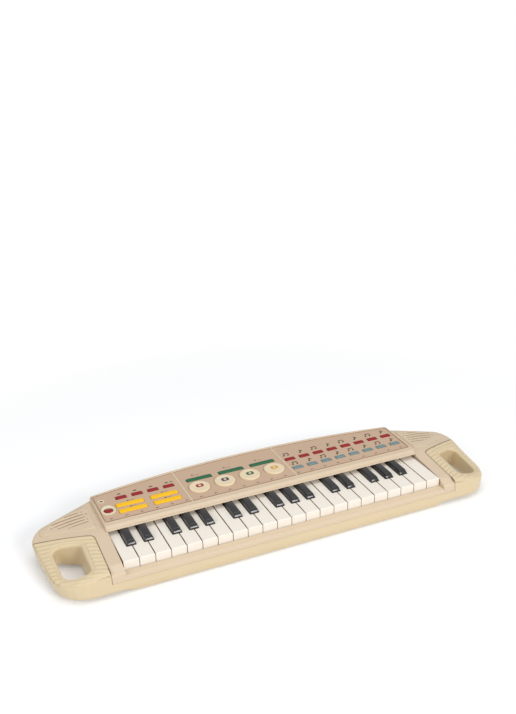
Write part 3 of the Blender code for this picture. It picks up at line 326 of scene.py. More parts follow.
def moulded_grain_group():
    """A shared effect: slow shade drift and a fine spark-eroded grain, both on Object coordinates."""
    group = bpy.data.node_groups.new("moulded_grain", "ShaderNodeTree")
    face = group.interface
    face.new_socket("Colour", in_out="INPUT", socket_type="NodeSocketColor")
    face.new_socket("Drift", in_out="INPUT", socket_type="NodeSocketFloat")
    face.new_socket("Grain Scale", in_out="INPUT", socket_type="NodeSocketFloat")
    face.new_socket("Grain Depth", in_out="INPUT", socket_type="NodeSocketFloat")
    face.new_socket("Roughness", in_out="INPUT", socket_type="NodeSocketFloat")
    face.new_socket("Colour", in_out="OUTPUT", socket_type="NodeSocketColor")
    face.new_socket("Roughness", in_out="OUTPUT", socket_type="NodeSocketFloat")
    face.new_socket("Normal", in_out="OUTPUT", socket_type="NodeSocketVector")
    nodes = group.nodes
    links = group.links
    entry = nodes.new("NodeGroupInput")
    leave = nodes.new("NodeGroupOutput")
    place = nodes.new("ShaderNodeTexCoord")
    slow = nodes.new("ShaderNodeTexNoise")
    slow.inputs["Scale"].default_value = 14.0
    slow.inputs["Detail"].default_value = 3.0
    centred = nodes.new("ShaderNodeMath")
    centred.operation = "SUBTRACT"
    centred.inputs[1].default_value = 0.5
    amount = nodes.new("ShaderNodeMath")
    amount.operation = "MULTIPLY_ADD"
    amount.inputs[2].default_value = 1.0
    shade = nodes.new("ShaderNodeHueSaturation")
    fine = nodes.new("ShaderNodeTexNoise")
    fine.inputs["Detail"].default_value = 2.0
    bump = nodes.new("ShaderNodeBump")
    bump.inputs["Distance"].default_value = 0.0002
    rough = nodes.new("ShaderNodeMath")
    rough.operation = "MULTIPLY_ADD"
    rough.inputs[1].default_value = 0.12
    links.new(place.outputs["Object"], slow.inputs["Vector"])
    links.new(place.outputs["Object"], fine.inputs["Vector"])
    links.new(slow.outputs["Fac"], centred.inputs[0])
    links.new(centred.outputs[0], amount.inputs[0])
    links.new(entry.outputs["Drift"], amount.inputs[1])
    links.new(amount.outputs[0], shade.inputs["Value"])
    links.new(entry.outputs["Colour"], shade.inputs["Color"])
    links.new(entry.outputs["Grain Scale"], fine.inputs["Scale"])
    links.new(fine.outputs["Fac"], bump.inputs["Height"])
    links.new(entry.outputs["Grain Depth"], bump.inputs["Strength"])
    links.new(centred.outputs[0], rough.inputs[0])
    links.new(entry.outputs["Roughness"], rough.inputs[2])
    links.new(shade.outputs["Color"], leave.inputs["Colour"])
    links.new(rough.outputs[0], leave.inputs["Roughness"])
    links.new(bump.outputs["Normal"], leave.inputs["Normal"])
    return group


GRAIN = moulded_grain_group()


def moulded_plastic(name, colour, roughness, drift=0.06, grain_scale=2600.0, grain_depth=0.25, gloss=0.5, coat=0.0):
    material = bpy.data.materials.new(name)
    material.use_nodes = True
    nodes = material.node_tree.nodes
    links = material.node_tree.links
    shader = nodes["Principled BSDF"]
    grain = nodes.new("ShaderNodeGroup")
    grain.node_tree = GRAIN
    grain.inputs["Colour"].default_value = (*colour, 1.0)
    grain.inputs["Drift"].default_value = drift
    grain.inputs["Grain Scale"].default_value = grain_scale
    grain.inputs["Grain Depth"].default_value = grain_depth
    grain.inputs["Roughness"].default_value = roughness
    shader.inputs["Specular IOR Level"].default_value = gloss
    shader.inputs["Coat Weight"].default_value = coat
    shader.inputs["Coat Roughness"].default_value = 0.10
    links.new(grain.outputs["Colour"], shader.inputs["Base Color"])
    links.new(grain.outputs["Roughness"], shader.inputs["Roughness"])
    links.new(grain.outputs["Normal"], shader.inputs["Normal"])
    return material


def key_ivory(name, colour, shade):
    """Ivory plastic with painted shade: brownish on its upright side faces, standing in for the shade in the gaps
    between keys.
    """
    material = moulded_plastic(name, colour, 0.26, 0.02, 1500.0, 0.03)
    nodes = material.node_tree.nodes
    links = material.node_tree.links
    shader = nodes["Principled BSDF"]
    tint = shader.inputs["Base Color"].links[0].from_socket
    form = nodes.new("ShaderNodeNewGeometry")
    parts = nodes.new("ShaderNodeSeparateXYZ")
    size = nodes.new("ShaderNodeMath")
    size.operation = "ABSOLUTE"
    # Mask of the faces that face sideways, where the painted gap shade goes
    sideways = nodes.new("ShaderNodeMapRange")
    sideways.interpolation_type = "SMOOTHSTEP"
    sideways.inputs["From Min"].default_value = 0.45
    sideways.inputs["From Max"].default_value = 0.90
    mix = nodes.new("ShaderNodeMix")
    mix.data_type = "RGBA"
    mix.inputs[7].default_value = (*shade, 1.0)
    links.new(form.outputs["Normal"], parts.inputs[0])
    links.new(parts.outputs["X"], size.inputs[0])
    links.new(size.outputs[0], sideways.inputs["Value"])
    links.new(sideways.outputs["Result"], mix.inputs["Factor"])
    links.new(tint, mix.inputs[6])
    links.new(mix.outputs[2], shader.inputs["Base Color"])
    return material


CREAM_CASE = moulded_plastic("cream_case", CREAM, 0.42)
BEIGE_CASE = moulded_plastic("beige_case", BEIGE, 0.38)
PANEL_FILM = moulded_plastic("panel_film", PANEL_TAN, 0.48, 0.05, 3500.0, 0.12)
IVORY_KEYS = key_ivory("ivory_keys", IVORY, KEY_GAP_SHADE_BROWN)
CHARCOAL_KEYS = moulded_plastic("charcoal_keys", CHARCOAL, 0.40, 0.10, 2400.0, 0.06, 0.15, 0.85)
RED_PLASTIC = moulded_plastic("red_buttons", BUTTON_RED, 0.34, gloss=0.2)
BLUE_PLASTIC = moulded_plastic("blue_grey_buttons", BUTTON_BLUE, 0.40, gloss=0.25)
YELLOW_PLASTIC = moulded_plastic("yellow_bars", BUTTON_YELLOW, 0.40, gloss=0.25)
GREEN_PLASTIC = moulded_plastic("green_bars", BUTTON_GREEN, 0.40, gloss=0.25)
PAD_RUBBER = moulded_plastic("pad_rubber", PAD_CREAM, 0.55, 0.05, 1800.0, 0.30)
RING_PLASTIC = moulded_plastic("ring_cream", RING_CREAM, 0.38)
BOARD_MASK = moulded_plastic("board_mask", BOARD_GREEN, 0.45)
LAMP_LENS = moulded_plastic("lamp_lens", DARK_LENS, 0.15)
RAIL_PLASTIC = moulded_plastic("rail_plastic", RAIL_GREY, 0.60)
SPEAKER_METAL = moulded_plastic("speaker_metal", METAL_GREY, 0.40)
PANEL_INK = moulded_plastic("panel_ink", DARK_INK, 0.45, 0.20, 5000.0, 0.10)
# Painted shade for the gap round the control panel
EDGE_SHADE_INK = moulded_plastic("panel_edge_shade_ink", EDGE_SHADE_BROWN, 0.45, 0.20, 5000.0, 0.10)
BROWN_PANEL_INK = moulded_plastic("brown_panel_ink", BROWN_INK, 0.45, 0.20, 5000.0, 0.10)
# Painted shade that darkens the speaker slots
SLOT_SHADE_FILL = moulded_plastic("slot_shade_fill", SLOT_SHADE_BROWN, 0.80, 0.30, 4000.0, 0.60)
SEAM_SHADOW = moulded_plastic("seam_shadow", SEAM_SHADOW_BROWN, 0.60, 0.20, 3000.0, 0.10)
PAD_PRINTS = tuple(
    moulded_plastic(f"pad_print_{name}", colour, 0.50, 0.15, 5000.0, 0.10)
    for name, colour in (
        ("red", PRINT_RED),
        ("indigo", PRINT_INDIGO),
        ("green", PRINT_GREEN),
        ("gold", PRINT_GOLD),
    )
)


def dress(node, material):
    """Gives a CAD node its finish."""
    piece = bpy.data.objects[node]
    piece.data.materials.clear()
    piece.data.materials.append(material)


def dress_nodes():
    finishes = {
        "lower_case": CREAM_CASE,
        "battery_door": CREAM_CASE,
        "upper_case": BEIGE_CASE,
        "control_panel": PANEL_FILM,
        "circuit_board": BOARD_MASK,
        "contact_board": BOARD_MASK,
        "power_lamp": LAMP_LENS,
        "key_rail": RAIL_PLASTIC,
        "speaker_left": SPEAKER_METAL,
        "speaker_right": SPEAKER_METAL,
        "power_switch": RED_PLASTIC,
        "left_red_buttons": RED_PLASTIC,
        "right_red_buttons": RED_PLASTIC,
        "right_blue_buttons": BLUE_PLASTIC,
        "yellow_bars_left": YELLOW_PLASTIC,
        "yellow_bars_right": YELLOW_PLASTIC,
    }
    families = {
        "white_key": IVORY_KEYS,
        "black_key": CHARCOAL_KEYS,
        "green_bar": GREEN_PLASTIC,
        "drum_pad": PAD_RUBBER,
    }
    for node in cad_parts:
        family = "_".join(node.split("_")[:2])
        dress(node, families[family] if family in families else finishes[node])


# Outlines and meshes

def unit(vector):
    return vector / np.linalg.norm(vector)


def rounded_outline(corners, steps=6):
    """A closed outline through (x, y, radius) corners, counter-clockwise.

    A round corner is an arc that touches both its sides: spokes from its centre, the first and the last of
    them blended by sines of the angle between them.
    """
    runs = []
    for index, (x, y, radius) in enumerate(corners):
        corner = np.array((x, y))
        if radius == 0:
            runs.append(corner[None])
            continue
        before = unit(np.array(corners[index - 1][:2]) - corner)
        after = unit(np.array(corners[(index + 1) % len(corners)][:2]) - corner)
        half = math.acos(before @ after) / 2
        centre = corner + unit(before + after) * radius / math.sin(half)
        reach = radius / math.tan(half)
        first = corner + before * reach - centre
        last = corner + after * reach - centre
        angle = math.pi - 2 * half
        share = np.linspace(0, 1, steps + 1)[:, None]
        spokes = first * np.sin((1 - share) * angle) + last * np.sin(share * angle)
        runs.append(centre + spokes / math.sin(angle))
    return np.concatenate(runs)


def rectangle(x, y, width, depth, radius, steps=3):
    signs = ((-1, -1), (1, -1), (1, 1), (-1, 1))
    return rounded_outline([(x + sx * width / 2, y + sy * depth / 2, radius) for sx, sy in signs], steps)


def circle(x, y, radius, steps=32):
    angle = np.arange(steps) * 2 * math.pi / steps
    return np.stack((x + radius * np.cos(angle), y + radius * np.sin(angle)), axis=1)


def mirrored(outline, side):
    """The outline on its own side, or on the left with its direction kept counter-clockwise."""
    if side > 0:
        return outline
    return outline[::-1] * (-1, 1)


def divided(outline, spacing):
    """The outline with each side cut into equal parts no longer than the spacing."""
    runs = []
    for start, end in zip(outline, np.roll(outline, -1, axis=0)):
        count = max(1, math.ceil(np.linalg.norm(end - start) / spacing))
        share = np.arange(count)[:, None] / count
        runs.append(start + (end - start) * share)
    return np.concatenate(runs)


def depth_inside(points, outline):
    """How far plan points lie inside a closed outline: the least distance to its sides, negative outside.

    A point is inside when a ray from it along +X crosses an odd number of sides.
    """
    start = outline[None]
    side = np.roll(outline, -1, axis=0)[None] - start
    from_start = points[:, None] - start
    share = np.clip((from_start * side).sum(-1) / (side**2).sum(-1), 0, 1)
    distance = np.linalg.norm(from_start - share[..., None] * side, axis=-1).min(axis=1)
    y = points[:, None, 1]
    straddles = (start[..., 1] > y) != (start[..., 1] + side[..., 1] > y)
    rise = np.where(side[..., 1] == 0, 1, side[..., 1])
    crossing = start[..., 0] + side[..., 0] * (y - start[..., 1]) / rise
    inside = (straddles & (crossing > points[:, None, 0])).sum(axis=1) % 2 == 1
    return np.where(inside, distance, -distance)


def add_piece(name, points, faces, material, body, smooth_angle=None):
    """A new piece of the object: its mesh, its finish, and the body that it rides on."""
    mesh = bpy.data.meshes.new(name)
    mesh.from_pydata(np.asarray(points).tolist(), [], [tuple(face) for face in faces])
    mesh.materials.append(material)
    if smooth_angle is not None:
        mesh.shade_smooth()
        mesh.set_sharp_from_angle(angle=math.radians(smooth_angle))
    piece = bpy.data.objects.new(name, mesh)
    bpy.context.scene.collection.objects.link(piece)
    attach(piece, body)
    return piece


def thicken(piece, thickness):
    """Gives an open sheet its thickness, away from its front side."""
    modifier = piece.modifiers.new("thickness", "SOLIDIFY")
    modifier.thickness = thickness
    modifier.offset = -1.0


def soften(piece, width, segments=2):
    modifier = piece.modifiers.new("softened_edges", "BEVEL")
    modifier.width = width
    modifier.segments = segments
    modifier.limit_method = "ANGLE"
    modifier.angle_limit = math.radians(50)


def grid_faces(rows, columns, closed=False):
    """Four-sided faces between neighbours of a grid, whose columns may close on themselves."""
    row = np.arange(rows - 1)[:, None]
    column = np.arange(columns if closed else columns - 1)[None]
    after = (column + 1) % columns
    corners = (row * columns + column, row * columns + after, (row + 1) * columns + after, (row + 1) * columns + column)
    return np.stack([np.broadcast_to(corner, (rows - 1, column.size)) for corner in corners], axis=-1).reshape(-1, 4)


def prisms(outlines, low, high):
    """Upright solids on closed counter-clockwise outlines: each outline at two heights, walls and two ends."""
    points = []
    faces = []
    count = 0
    for outline in outlines:
        size = len(outline)
        for z in (low, high):
            points.append(np.column_stack((outline, np.full(size, z))))
        faces += (grid_faces(2, size, closed=True) + count).tolist()
        faces.append((np.arange(size)[::-1] + count).tolist())
        faces.append((np.arange(size) + size + count).tolist())
        count += 2 * size
    return np.concatenate(points), faces


def turned(x, y, profile, steps=64):
    """A solid of revolution: closed (radius, z) profile points turned about an upright axis at (x, y).

    A profile that starts and ends on the axis has its pole closed by a many-sided face.
    """
    radius, z = np.array(profile).T
    angle = np.arange(steps) * 2 * math.pi / steps
    across = radius[:, None] * np.cos(angle)
    back = radius[:, None] * np.sin(angle)
    height = np.broadcast_to(z[:, None], across.shape)
    points = np.stack((x + across, y + back, height), axis=-1).reshape(-1, 3)
    faces = grid_faces(len(profile), steps, closed=True).tolist()
    ring = np.arange(steps)
    last = (len(profile) - 1) * steps
    faces.append((ring[::-1]).tolist())
    faces.append((ring + last).tolist())
    return points, faces


# The housing's form

def deck_height(x, y):
    """The top: level behind a crease, sloping down before it, and crowned past the keys."""
    ahead = np.maximum(0.0, CREASE_Y - y)
    behind = np.maximum(0.0, y - CREASE_Y)
    beyond = np.maximum(0.0, np.abs(x) - KEYBED_HALF)
    crown = beyond**2 / (2 * END_CROWN_RADIUS) / (1 + behind / CROWN_FADE) ** 2
    return DECK_TOP - FRONT_SLOPE * ahead - crown


def arch_y(x):
    return REAR_Y - x**2 / (2 * ARCH_RADIUS) - WING_FALL * np.maximum(0.0, np.abs(x) - KEYBED_HALF)


def housing_outline():
    """The right half of the widest outline, closed across the middle."""
    tip_y = arch_y(TIP_X)
    front_x = TIP_X - (tip_y - FRONT_Y) * SIDE_LEAN
    return rounded_outline([
        (0.0, FRONT_Y, 0.0),
        (front_x, FRONT_Y, FRONT_CORNER_RADIUS),
        (TIP_X, tip_y, TIP_RADIUS),
        (KEYBED_HALF, arch_y(KEYBED_HALF), 0.0),
        (0.0, arch_y(KEYBED_HALF), 0.0),
    ])


def upper_case_plan():
    """What the upper case covers on the right, run out past the housing."""
    far = TIP_X + 0.0400
    seam_end = KEYS_Y + SEAM_BACK + (far - SEAM_X) * SEAM_SLANT
    return rounded_outline([
        (0.0, FRONT_Y - 0.0400, 0.0),
        (SEAM_X, FRONT_Y - 0.0400, 0.0),
        (SEAM_X, KEYS_Y + SEAM_BACK, SEAM_RADIUS),
        (far, seam_end, 0.0),
        (far, REAR_Y + 0.0400, 0.0),
        (0.0, REAR_Y + 0.0400, 0.0),
    ])


# Ribbed handles

def rib_fade(points):
    """How far plan points on the right are into the ribbed area, in lengths of the ribs' fade."""
    from_seam = -depth_inside(points, upper_case_plan()) - RIB_FROM_SEAM
    hole = rounded_outline([(SEAM_X + across, KEYS_Y + back, radius) for across, back, radius in HOLE_RIM])
    from_hole = -depth_inside(points, hole) - RIB_FROM_HOLE
    wrap = np.maximum(0.0, points[:, 0] - SEAM_X - 0.0450)
    from_front = points[:, 1] - FRONT_Y - RIB_FROM_FRONT + wrap
    return np.minimum.reduce((from_seam, from_hole, from_front / RIB_FRONT_EASE)) / RIB_FADE


def ribbed_top(side):
    """The ribbed top of one handle, as a thin skin on the housing.

    A grid across and along the ribs, which run parallel to the slanted seam. Its height is the housing's
    deck, less the round of its edge, plus the absolute sine of the distance across; towards the border of
    the ribbed area it sinks below the housing's surface.
    """
    along = unit(np.array((1.0, SEAM_SLANT)))
    across = np.array((along[1], -along[0]))
    v = np.arange(-0.036, 0.084, RIB_STEP_ALONG)
    u = np.arange(0.0, 0.104, RIB_PITCH / 8)
    plan = np.array((SEAM_X, KEYS_Y + SEAM_BACK)) + u[:, None, None] * across + v[None, :, None] * along
    flat = plan.reshape(-1, 2)
    x, y = flat.T
    inset = depth_inside(flat, housing_outline()) - EDGE_DRAFT
    edge = EDGE_RADIUS - np.clip(EDGE_RADIUS - inset, 0.0, EDGE_RADIUS)
    drop = EDGE_RADIUS - np.sqrt(EDGE_RADIUS**2 - (EDGE_RADIUS - edge) ** 2)
    border = np.minimum(rib_fade(flat), (inset - 0.0002) / 0.0006)
    fade = np.clip(border, 0.0, 1.0)
    fade = fade * fade * (3 - 2 * fade)
    ridge = np.abs(np.sin(np.pi * np.repeat(u, len(v)) / RIB_PITCH))
    lift = (RIB_LIFT + RIB_HEIGHT * ridge) * fade - RIB_SINK * (1 - fade)
    z = deck_height(x, y) - drop + lift
    faces = grid_faces(len(u), len(v))
    faces = faces[(border[faces] > -0.4).all(axis=1)]
    used, index = np.unique(faces, return_inverse=True)
    faces = index.reshape(-1, 4)
    if side < 0:
        faces = faces[:, ::-1]
    points = np.column_stack((side * x, y, z))[used]
    name = "ribbed_top_left" if side < 0 else "ribbed_top_right"
    piece = add_piece(name, points, faces[:, ::-1].tolist(), CREAM_CASE, "case", 60)
    thicken(piece, RIB_THICKNESS)


def edge_drop(plan):
    """How far the housing's rounded edge falls below the deck at plan points on the right."""
    inset = depth_inside(plan, housing_outline()) - EDGE_DRAFT
    across = np.clip(EDGE_RADIUS - inset, 0.0, EDGE_RADIUS)
    return EDGE_RADIUS - np.sqrt(EDGE_RADIUS**2 - across**2)


def seam_line(side):
    """A painted shadow of the gap between a handle and the upper case: a dark narrow strip along the seam, just proud.

    Its middle line is the upper case's edge moved out by half the gap, and each point stands on the deck.
    """
    far = TIP_X - 0.0012
    end = KEYS_Y + SEAM_BACK + (far - SEAM_X) * SEAM_SLANT
    corner = rounded_outline([
        (SEAM_X, FRONT_Y + 0.0014, 0.0),
        (SEAM_X, KEYS_Y + SEAM_BACK, SEAM_RADIUS),
        (far, end, 0.0),
    ])
    path = divided(corner, 0.0015)
    path = path[: np.argmin(np.linalg.norm(path - (far, end), axis=1)) + 1]
    middle = path[depth_inside(path, housing_outline()) > EDGE_DRAFT + SEAM_LINE_INSIDE]
    ahead = np.gradient(middle, axis=0)
    ahead /= np.linalg.norm(ahead, axis=1)[:, None]
    out = np.stack((ahead[:, 1], -ahead[:, 0]), axis=1)
    rows = []
    for offset, rise in ((SEAM_LINE[1], -0.0004), (SEAM_LINE[1], 0.00004), (SEAM_LINE[0], 0.00004), (SEAM_LINE[0], -0.0004)):
        plan = middle + offset * out
        rows.append(np.column_stack((side * plan[:, 0], plan[:, 1], deck_height(*plan.T) - edge_drop(plan) + rise)))
    points = np.stack(rows, axis=1).reshape(-1, 3)
    faces = grid_faces(len(middle), 4, closed=True).tolist()
    faces += [[3, 2, 1, 0], [len(points) - 4, len(points) - 3, len(points) - 2, len(points) - 1]]
    if side > 0:
        faces = [face[::-1] for face in faces]
    add_piece("seam_line_left" if side < 0 else "seam_line_right", points, faces, SEAM_SHADOW, "case")


# Speaker pads

def slot_outlines():
    """The slots over the right speaker, each with its small square hole, a little wider than the case's."""
    outlines = []
    for number, (low, high, hole) in enumerate(SLOT_SPANS):
        y = KEYS_Y + SLOT_BACK - SLOT_PITCH * number
        outlines.append(rectangle(SEAM_X + (low + high) / 2, y, high - low + 0.0004, SLOT_WIDTH, 0.0004))
        outlines.append(rectangle(SEAM_X + hole, y, SLOT_WIDTH, SLOT_WIDTH, 0.0004))
    return outlines


def speaker_pad(side):
    """The raised pad round the slots: triangles between its outline, the slots and a lattice of points.

    Each point stands on the deck's height plus the pad's rise.
    """
    spacing = 0.0050
    outline = divided(rounded_outline([(x, KEYS_Y + back, radius) for x, back, radius in SPEAKER_PAD]), spacing)
    slots = [divided(slot, spacing) for slot in slot_outlines()]
    xs = np.arange(outline[:, 0].min(), outline[:, 0].max(), spacing)
    ys = np.arange(outline[:, 1].min(), outline[:, 1].max(), spacing)
    lattice = np.stack(np.meshgrid(xs, ys), axis=-1).reshape(-1, 2)
    clear = depth_inside(lattice, outline) > spacing / 2
    for slot in slots:
        clear &= depth_inside(lattice, slot) < -0.0010
    loops = [outline, *slots]
    starts = np.cumsum([0] + [len(loop) for loop in loops])
    edges = []
    for start, loop in zip(starts, loops):
        index = np.arange(len(loop))
        edges += np.column_stack((start + index, start + (index + 1) % len(loop))).tolist()
    plan = np.concatenate([*loops, lattice[clear]])
    places, _, faces, _, _, _ = delaunay_2d_cdt([Vector(point) for point in plan], edges, [], 1, 1e-7)
    places = np.array([tuple(place) for place in places])
    faces = np.array(faces)
    middles = places[faces].mean(axis=1)
    solid = np.ones(len(faces), bool)
    for slot in slots:
        solid &= depth_inside(middles, slot) < 0
    faces = faces[solid]
    if side < 0:
        faces = faces[:, ::-1]
    height = deck_height(places[:, 0], places[:, 1]) + SPEAKER_PAD_RISE
    points = np.column_stack((side * places[:, 0], places[:, 1], height))
    name = "speaker_pad_left" if side < 0 else "speaker_pad_right"
    piece = add_piece(name, points, faces.tolist(), BEIGE_CASE, "case", 40)
    thicken(piece, SPEAKER_PAD_RISE + 0.0005)
    soften(piece, 0.00035)


def slot_shade_fill(side):
    """Dark brown fill in the slots, painted shade of their depth: each slot's outline twice, at two heights about the
    deck's height.
    """
    outlines = [divided(slot, 0.0030) for slot in slot_outlines()]
    points, faces = prisms(outlines, -0.0011, 0.00045)
    points[:, 2] += deck_height(points[:, 0], points[:, 1])
    if side < 0:
        points *= (-1, 1, 1)
        faces = [face[::-1] for face in faces]
    add_piece("slot_cloth_left" if side < 0 else "slot_cloth_right", points, faces, SLOT_SHADE_FILL, "case")


# Control panel

def row_places(node, columns, width):
    """The middles of a row of equal caps, from the box of the piece that carries them all."""
    low, high = node_box(node)
    edge = FLANGE_LIP + width / 2
    return np.linspace(low[0] + edge, high[0] - edge, columns)


def panel_dividers():
    """The two raised lines across the panel: half-round bars from its front edge to its back edge."""
    angle = np.linspace(0, math.pi, 9)
    for number, share in enumerate(PANEL_SPLIT):
        x = PANEL_HALF * (2 * share - 1)
        section = np.stack((x + 0.0008 * np.cos(angle), PANEL_TOP - 0.0003 + 0.0009 * np.sin(angle)), axis=1)
        ends = (PANEL_FRONT_Y + 0.0004, arch_y(x) - PANEL_BACK_INSET - 0.0004)
        rings = [np.insert(section, 1, y, axis=1) for y in ends]
        size = len(section)
        faces = grid_faces(2, size, closed=True).tolist()
        faces.append(list(range(size))[::-1])
        faces.append(list(range(size, 2 * size)))
        faces = [face[::-1] for face in faces]
        add_piece(f"panel_divider_{number + 1}", np.concatenate(rings), faces, RING_PLASTIC, "case", 50)


def switch_surround():
    """The pale ring round the power switch, longer at the back, where the knob slides to.

    Rings blend a circle at the well with a longer one outside, by a share, while they rise over the rim,
    which stands higher towards the back by the sine of the turn.
    """
    low, high = node_box("power_switch")
    x = (low[0] + high[0]) / 2
    y = (low[1] + high[1]) / 2 + SWITCH_REST
    turn = np.arange(64) * 2 * math.pi / 64
    inner = np.stack((SWITCH_WELL * np.cos(turn), SWITCH_WELL * np.sin(turn)), axis=1)
    longer = SWITCH_RING_LONGER * np.maximum(0.0, np.sin(turn))
    outer = np.stack((SWITCH_RING * np.cos(turn), SWITCH_RING * np.sin(turn) + longer), axis=1)
    share = np.array((1.0, 1.0, 0.97, 0.87, 0.70, 0.52, 0.34, 0.16, 0.0, 0.0))[:, None, None]
    rise = np.array((-0.1, 1.05, 1.40, 1.85, 2.10, 2.10, 1.85, 1.45, 1.1, -1.2)) / 1000
    plan = inner + share * (outer - inner) + (x, y)
    crest = np.maximum(0.0, rise - SWITCH_RING_RISE)[:, None] * (0.60 + 0.40 * np.sin(turn))
    height = PANEL_TOP + np.minimum(rise, SWITCH_RING_RISE)[:, None] + crest
    points = np.concatenate((plan, height[..., None]), axis=-1).reshape(-1, 3)
    ring = np.arange(64)
    after = (ring + 1) % 64
    last = 9 * 64
    faces = np.concatenate((grid_faces(10, 64, closed=True), np.column_stack((last + ring, last + after, after, ring))))
    add_piece("switch_surround", points, faces.tolist(), RING_PLASTIC, "case", 40)


def rolled_cap(x, y, width, depth, corner, low, top):
    """A cap with round corners and a rolled top edge, slightly crowned.

    Its outline shrinks by the roll times one less the cosine of a turn, and rises by the roll times its sine.
    """
    turn = np.radians((0, 22, 45, 67, 90))
    inset = CAP_ROLL * (1 - np.cos(turn))
    height = top - 0.0002 - CAP_ROLL * (1 - np.sin(turn))
    levels = [(0.0, low), *zip(inset, height), (depth * 0.30, top)]
    rings = []
    for shrunk, z in levels:
        radius = max(corner - shrunk, 0.0004)
        outline = rectangle(x, y, width - 2 * shrunk, depth - 2 * shrunk, radius, 4)
        rings.append(np.column_stack((outline, np.full(len(outline), z))))
    size = len(rings[0])
    faces = grid_faces(len(rings), size, closed=True).tolist()
    faces += [list(range(size))[::-1], list(range((len(rings) - 1) * size, len(rings) * size))]
    return np.concatenate(rings), faces


def joined(parts):
    """One mesh of several: their points in a row, and their faces counted on."""
    points = []
    faces = []
    count = 0
    for part_points, part_faces in parts:
        points.append(part_points)
        faces += [[index + count for index in face] for face in part_faces]
        count += len(part_points)
    return np.concatenate(points), faces


def button_caps():
    """The push buttons: rolled caps on the plate that joins each row under the panel, with a leg under each."""
    finishes = {"red": RED_PLASTIC, "blue_grey": BLUE_PLASTIC, "yellow": YELLOW_PLASTIC, "green": GREEN_PLASTIC}
    for node, (columns, rows, (width, depth, corner)) in BUTTON_ROWS.items():
        low, high = node_box(node)
        slot = next(name for name in finishes if name.split("_")[0] in node)
        edge = FLANGE_LIP + depth / 2
        middle = (low[:2] + high[:2]) / 2
        span = high[:2] - low[:2]
        parts = [prisms([rectangle(*middle, *span, 0.0006, 1)], *CARRIER)]
        for x in row_places(node, columns, width):
            for y in np.linspace(low[1] + edge, high[1] - edge, rows):
                parts.append(rolled_cap(x, y, width, depth, corner, CARRIER[1] - 0.0004, high[2]))
                parts.append(prisms([circle(x, y, LEG_RADIUS, 8)], low[2], CARRIER[0] + 0.0004))
        points, faces = joined(parts)
        caps = add_piece(f"{node}_caps", points, faces, finishes[slot], node, 35)
        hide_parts(node)


def switch_cap():
    """The red cap of the power switch, over its packed knob."""
    low, high = node_box("power_switch")
    x, y = (low[:2] + high[:2]) / 2
    points, faces = rolled_cap(x, y, *SWITCH_CAP, PANEL_TOP - 0.0012, high[2] + 0.0003)
    add_piece("switch_cap", points, faces, RED_PLASTIC, "power_switch", 35)


def lamp_surround():
    """The pale printed disc round the indicator lamp, open over its window."""
    low, high = node_box("power_lamp")
    x, y = (low[:2] + high[:2]) / 2
    outer = circle(x, y, 0.0040, 24)
    angle = np.arange(24) * 2 * math.pi / 24
    reach = np.minimum(0.0021 / np.maximum(np.abs(np.cos(angle)), 1e-6), 0.0013 / np.maximum(np.abs(np.sin(angle)), 1e-6))
    inner = np.stack((x + reach * np.cos(angle), y + reach * np.sin(angle)), axis=1)
    heights = (PANEL_TOP - 0.0001, PANEL_TOP + 0.00015)
    rings = [(outer, heights[0]), (outer, heights[1]), (inner, heights[1]), (inner, heights[0])]
    points = np.concatenate([np.column_stack((ring, np.full(24, z))) for ring, z in rings])
    faces = grid_faces(4, 24, closed=True).tolist()
    ring = np.arange(24)
    after = (ring + 1) % 24
    faces += np.column_stack((72 + ring, 72 + after, after, ring)).tolist()
    add_piece("lamp_surround", points, faces, RING_PLASTIC, "case")
    points, faces = prisms([rectangle(x, y, 0.0044, 0.0028, 0.0003, 2)], PANEL_TOP - 0.0002, PANEL_TOP + 0.00008)
    add_piece("lamp_window", points, faces, LAMP_LENS, "case")


def note_mark(x, y, kind):
    """Generic music signs: a beamed pair of notes or a single quaver, on leaning oval heads."""
    angle = np.arange(12) * math.pi / 6
    head = np.stack((0.0017 * np.cos(angle), 0.0013 * np.sin(angle) + 0.0006 * np.cos(angle)), axis=1)
    stem = rectangle(0.0012, 0.0030, 0.0009, 0.0060, 0.0001, 1)
    if kind == 0:
        beam = rectangle(0.0013, 0.0052, 0.0070, 0.0018, 0.0001, 1)
        parts = [head - (0.0030, 0), head + (0.0032, 0), stem - (0.0030, 0), stem + (0.0032, 0), beam]
        return [part + (x - 0.0012, y - 0.0028) for part in parts]
    flag = np.array(((0.0012, 0.0060), (0.0012, 0.0036), (0.0040, 0.0016), (0.0044, 0.0032)))
    return [part * 1.1 + (x - 0.0012, y - 0.0030) for part in (head, stem, flag)]


def dash(x, y, width, depth):
    return rectangle(x, y, width, depth, depth * 0.3, 1)


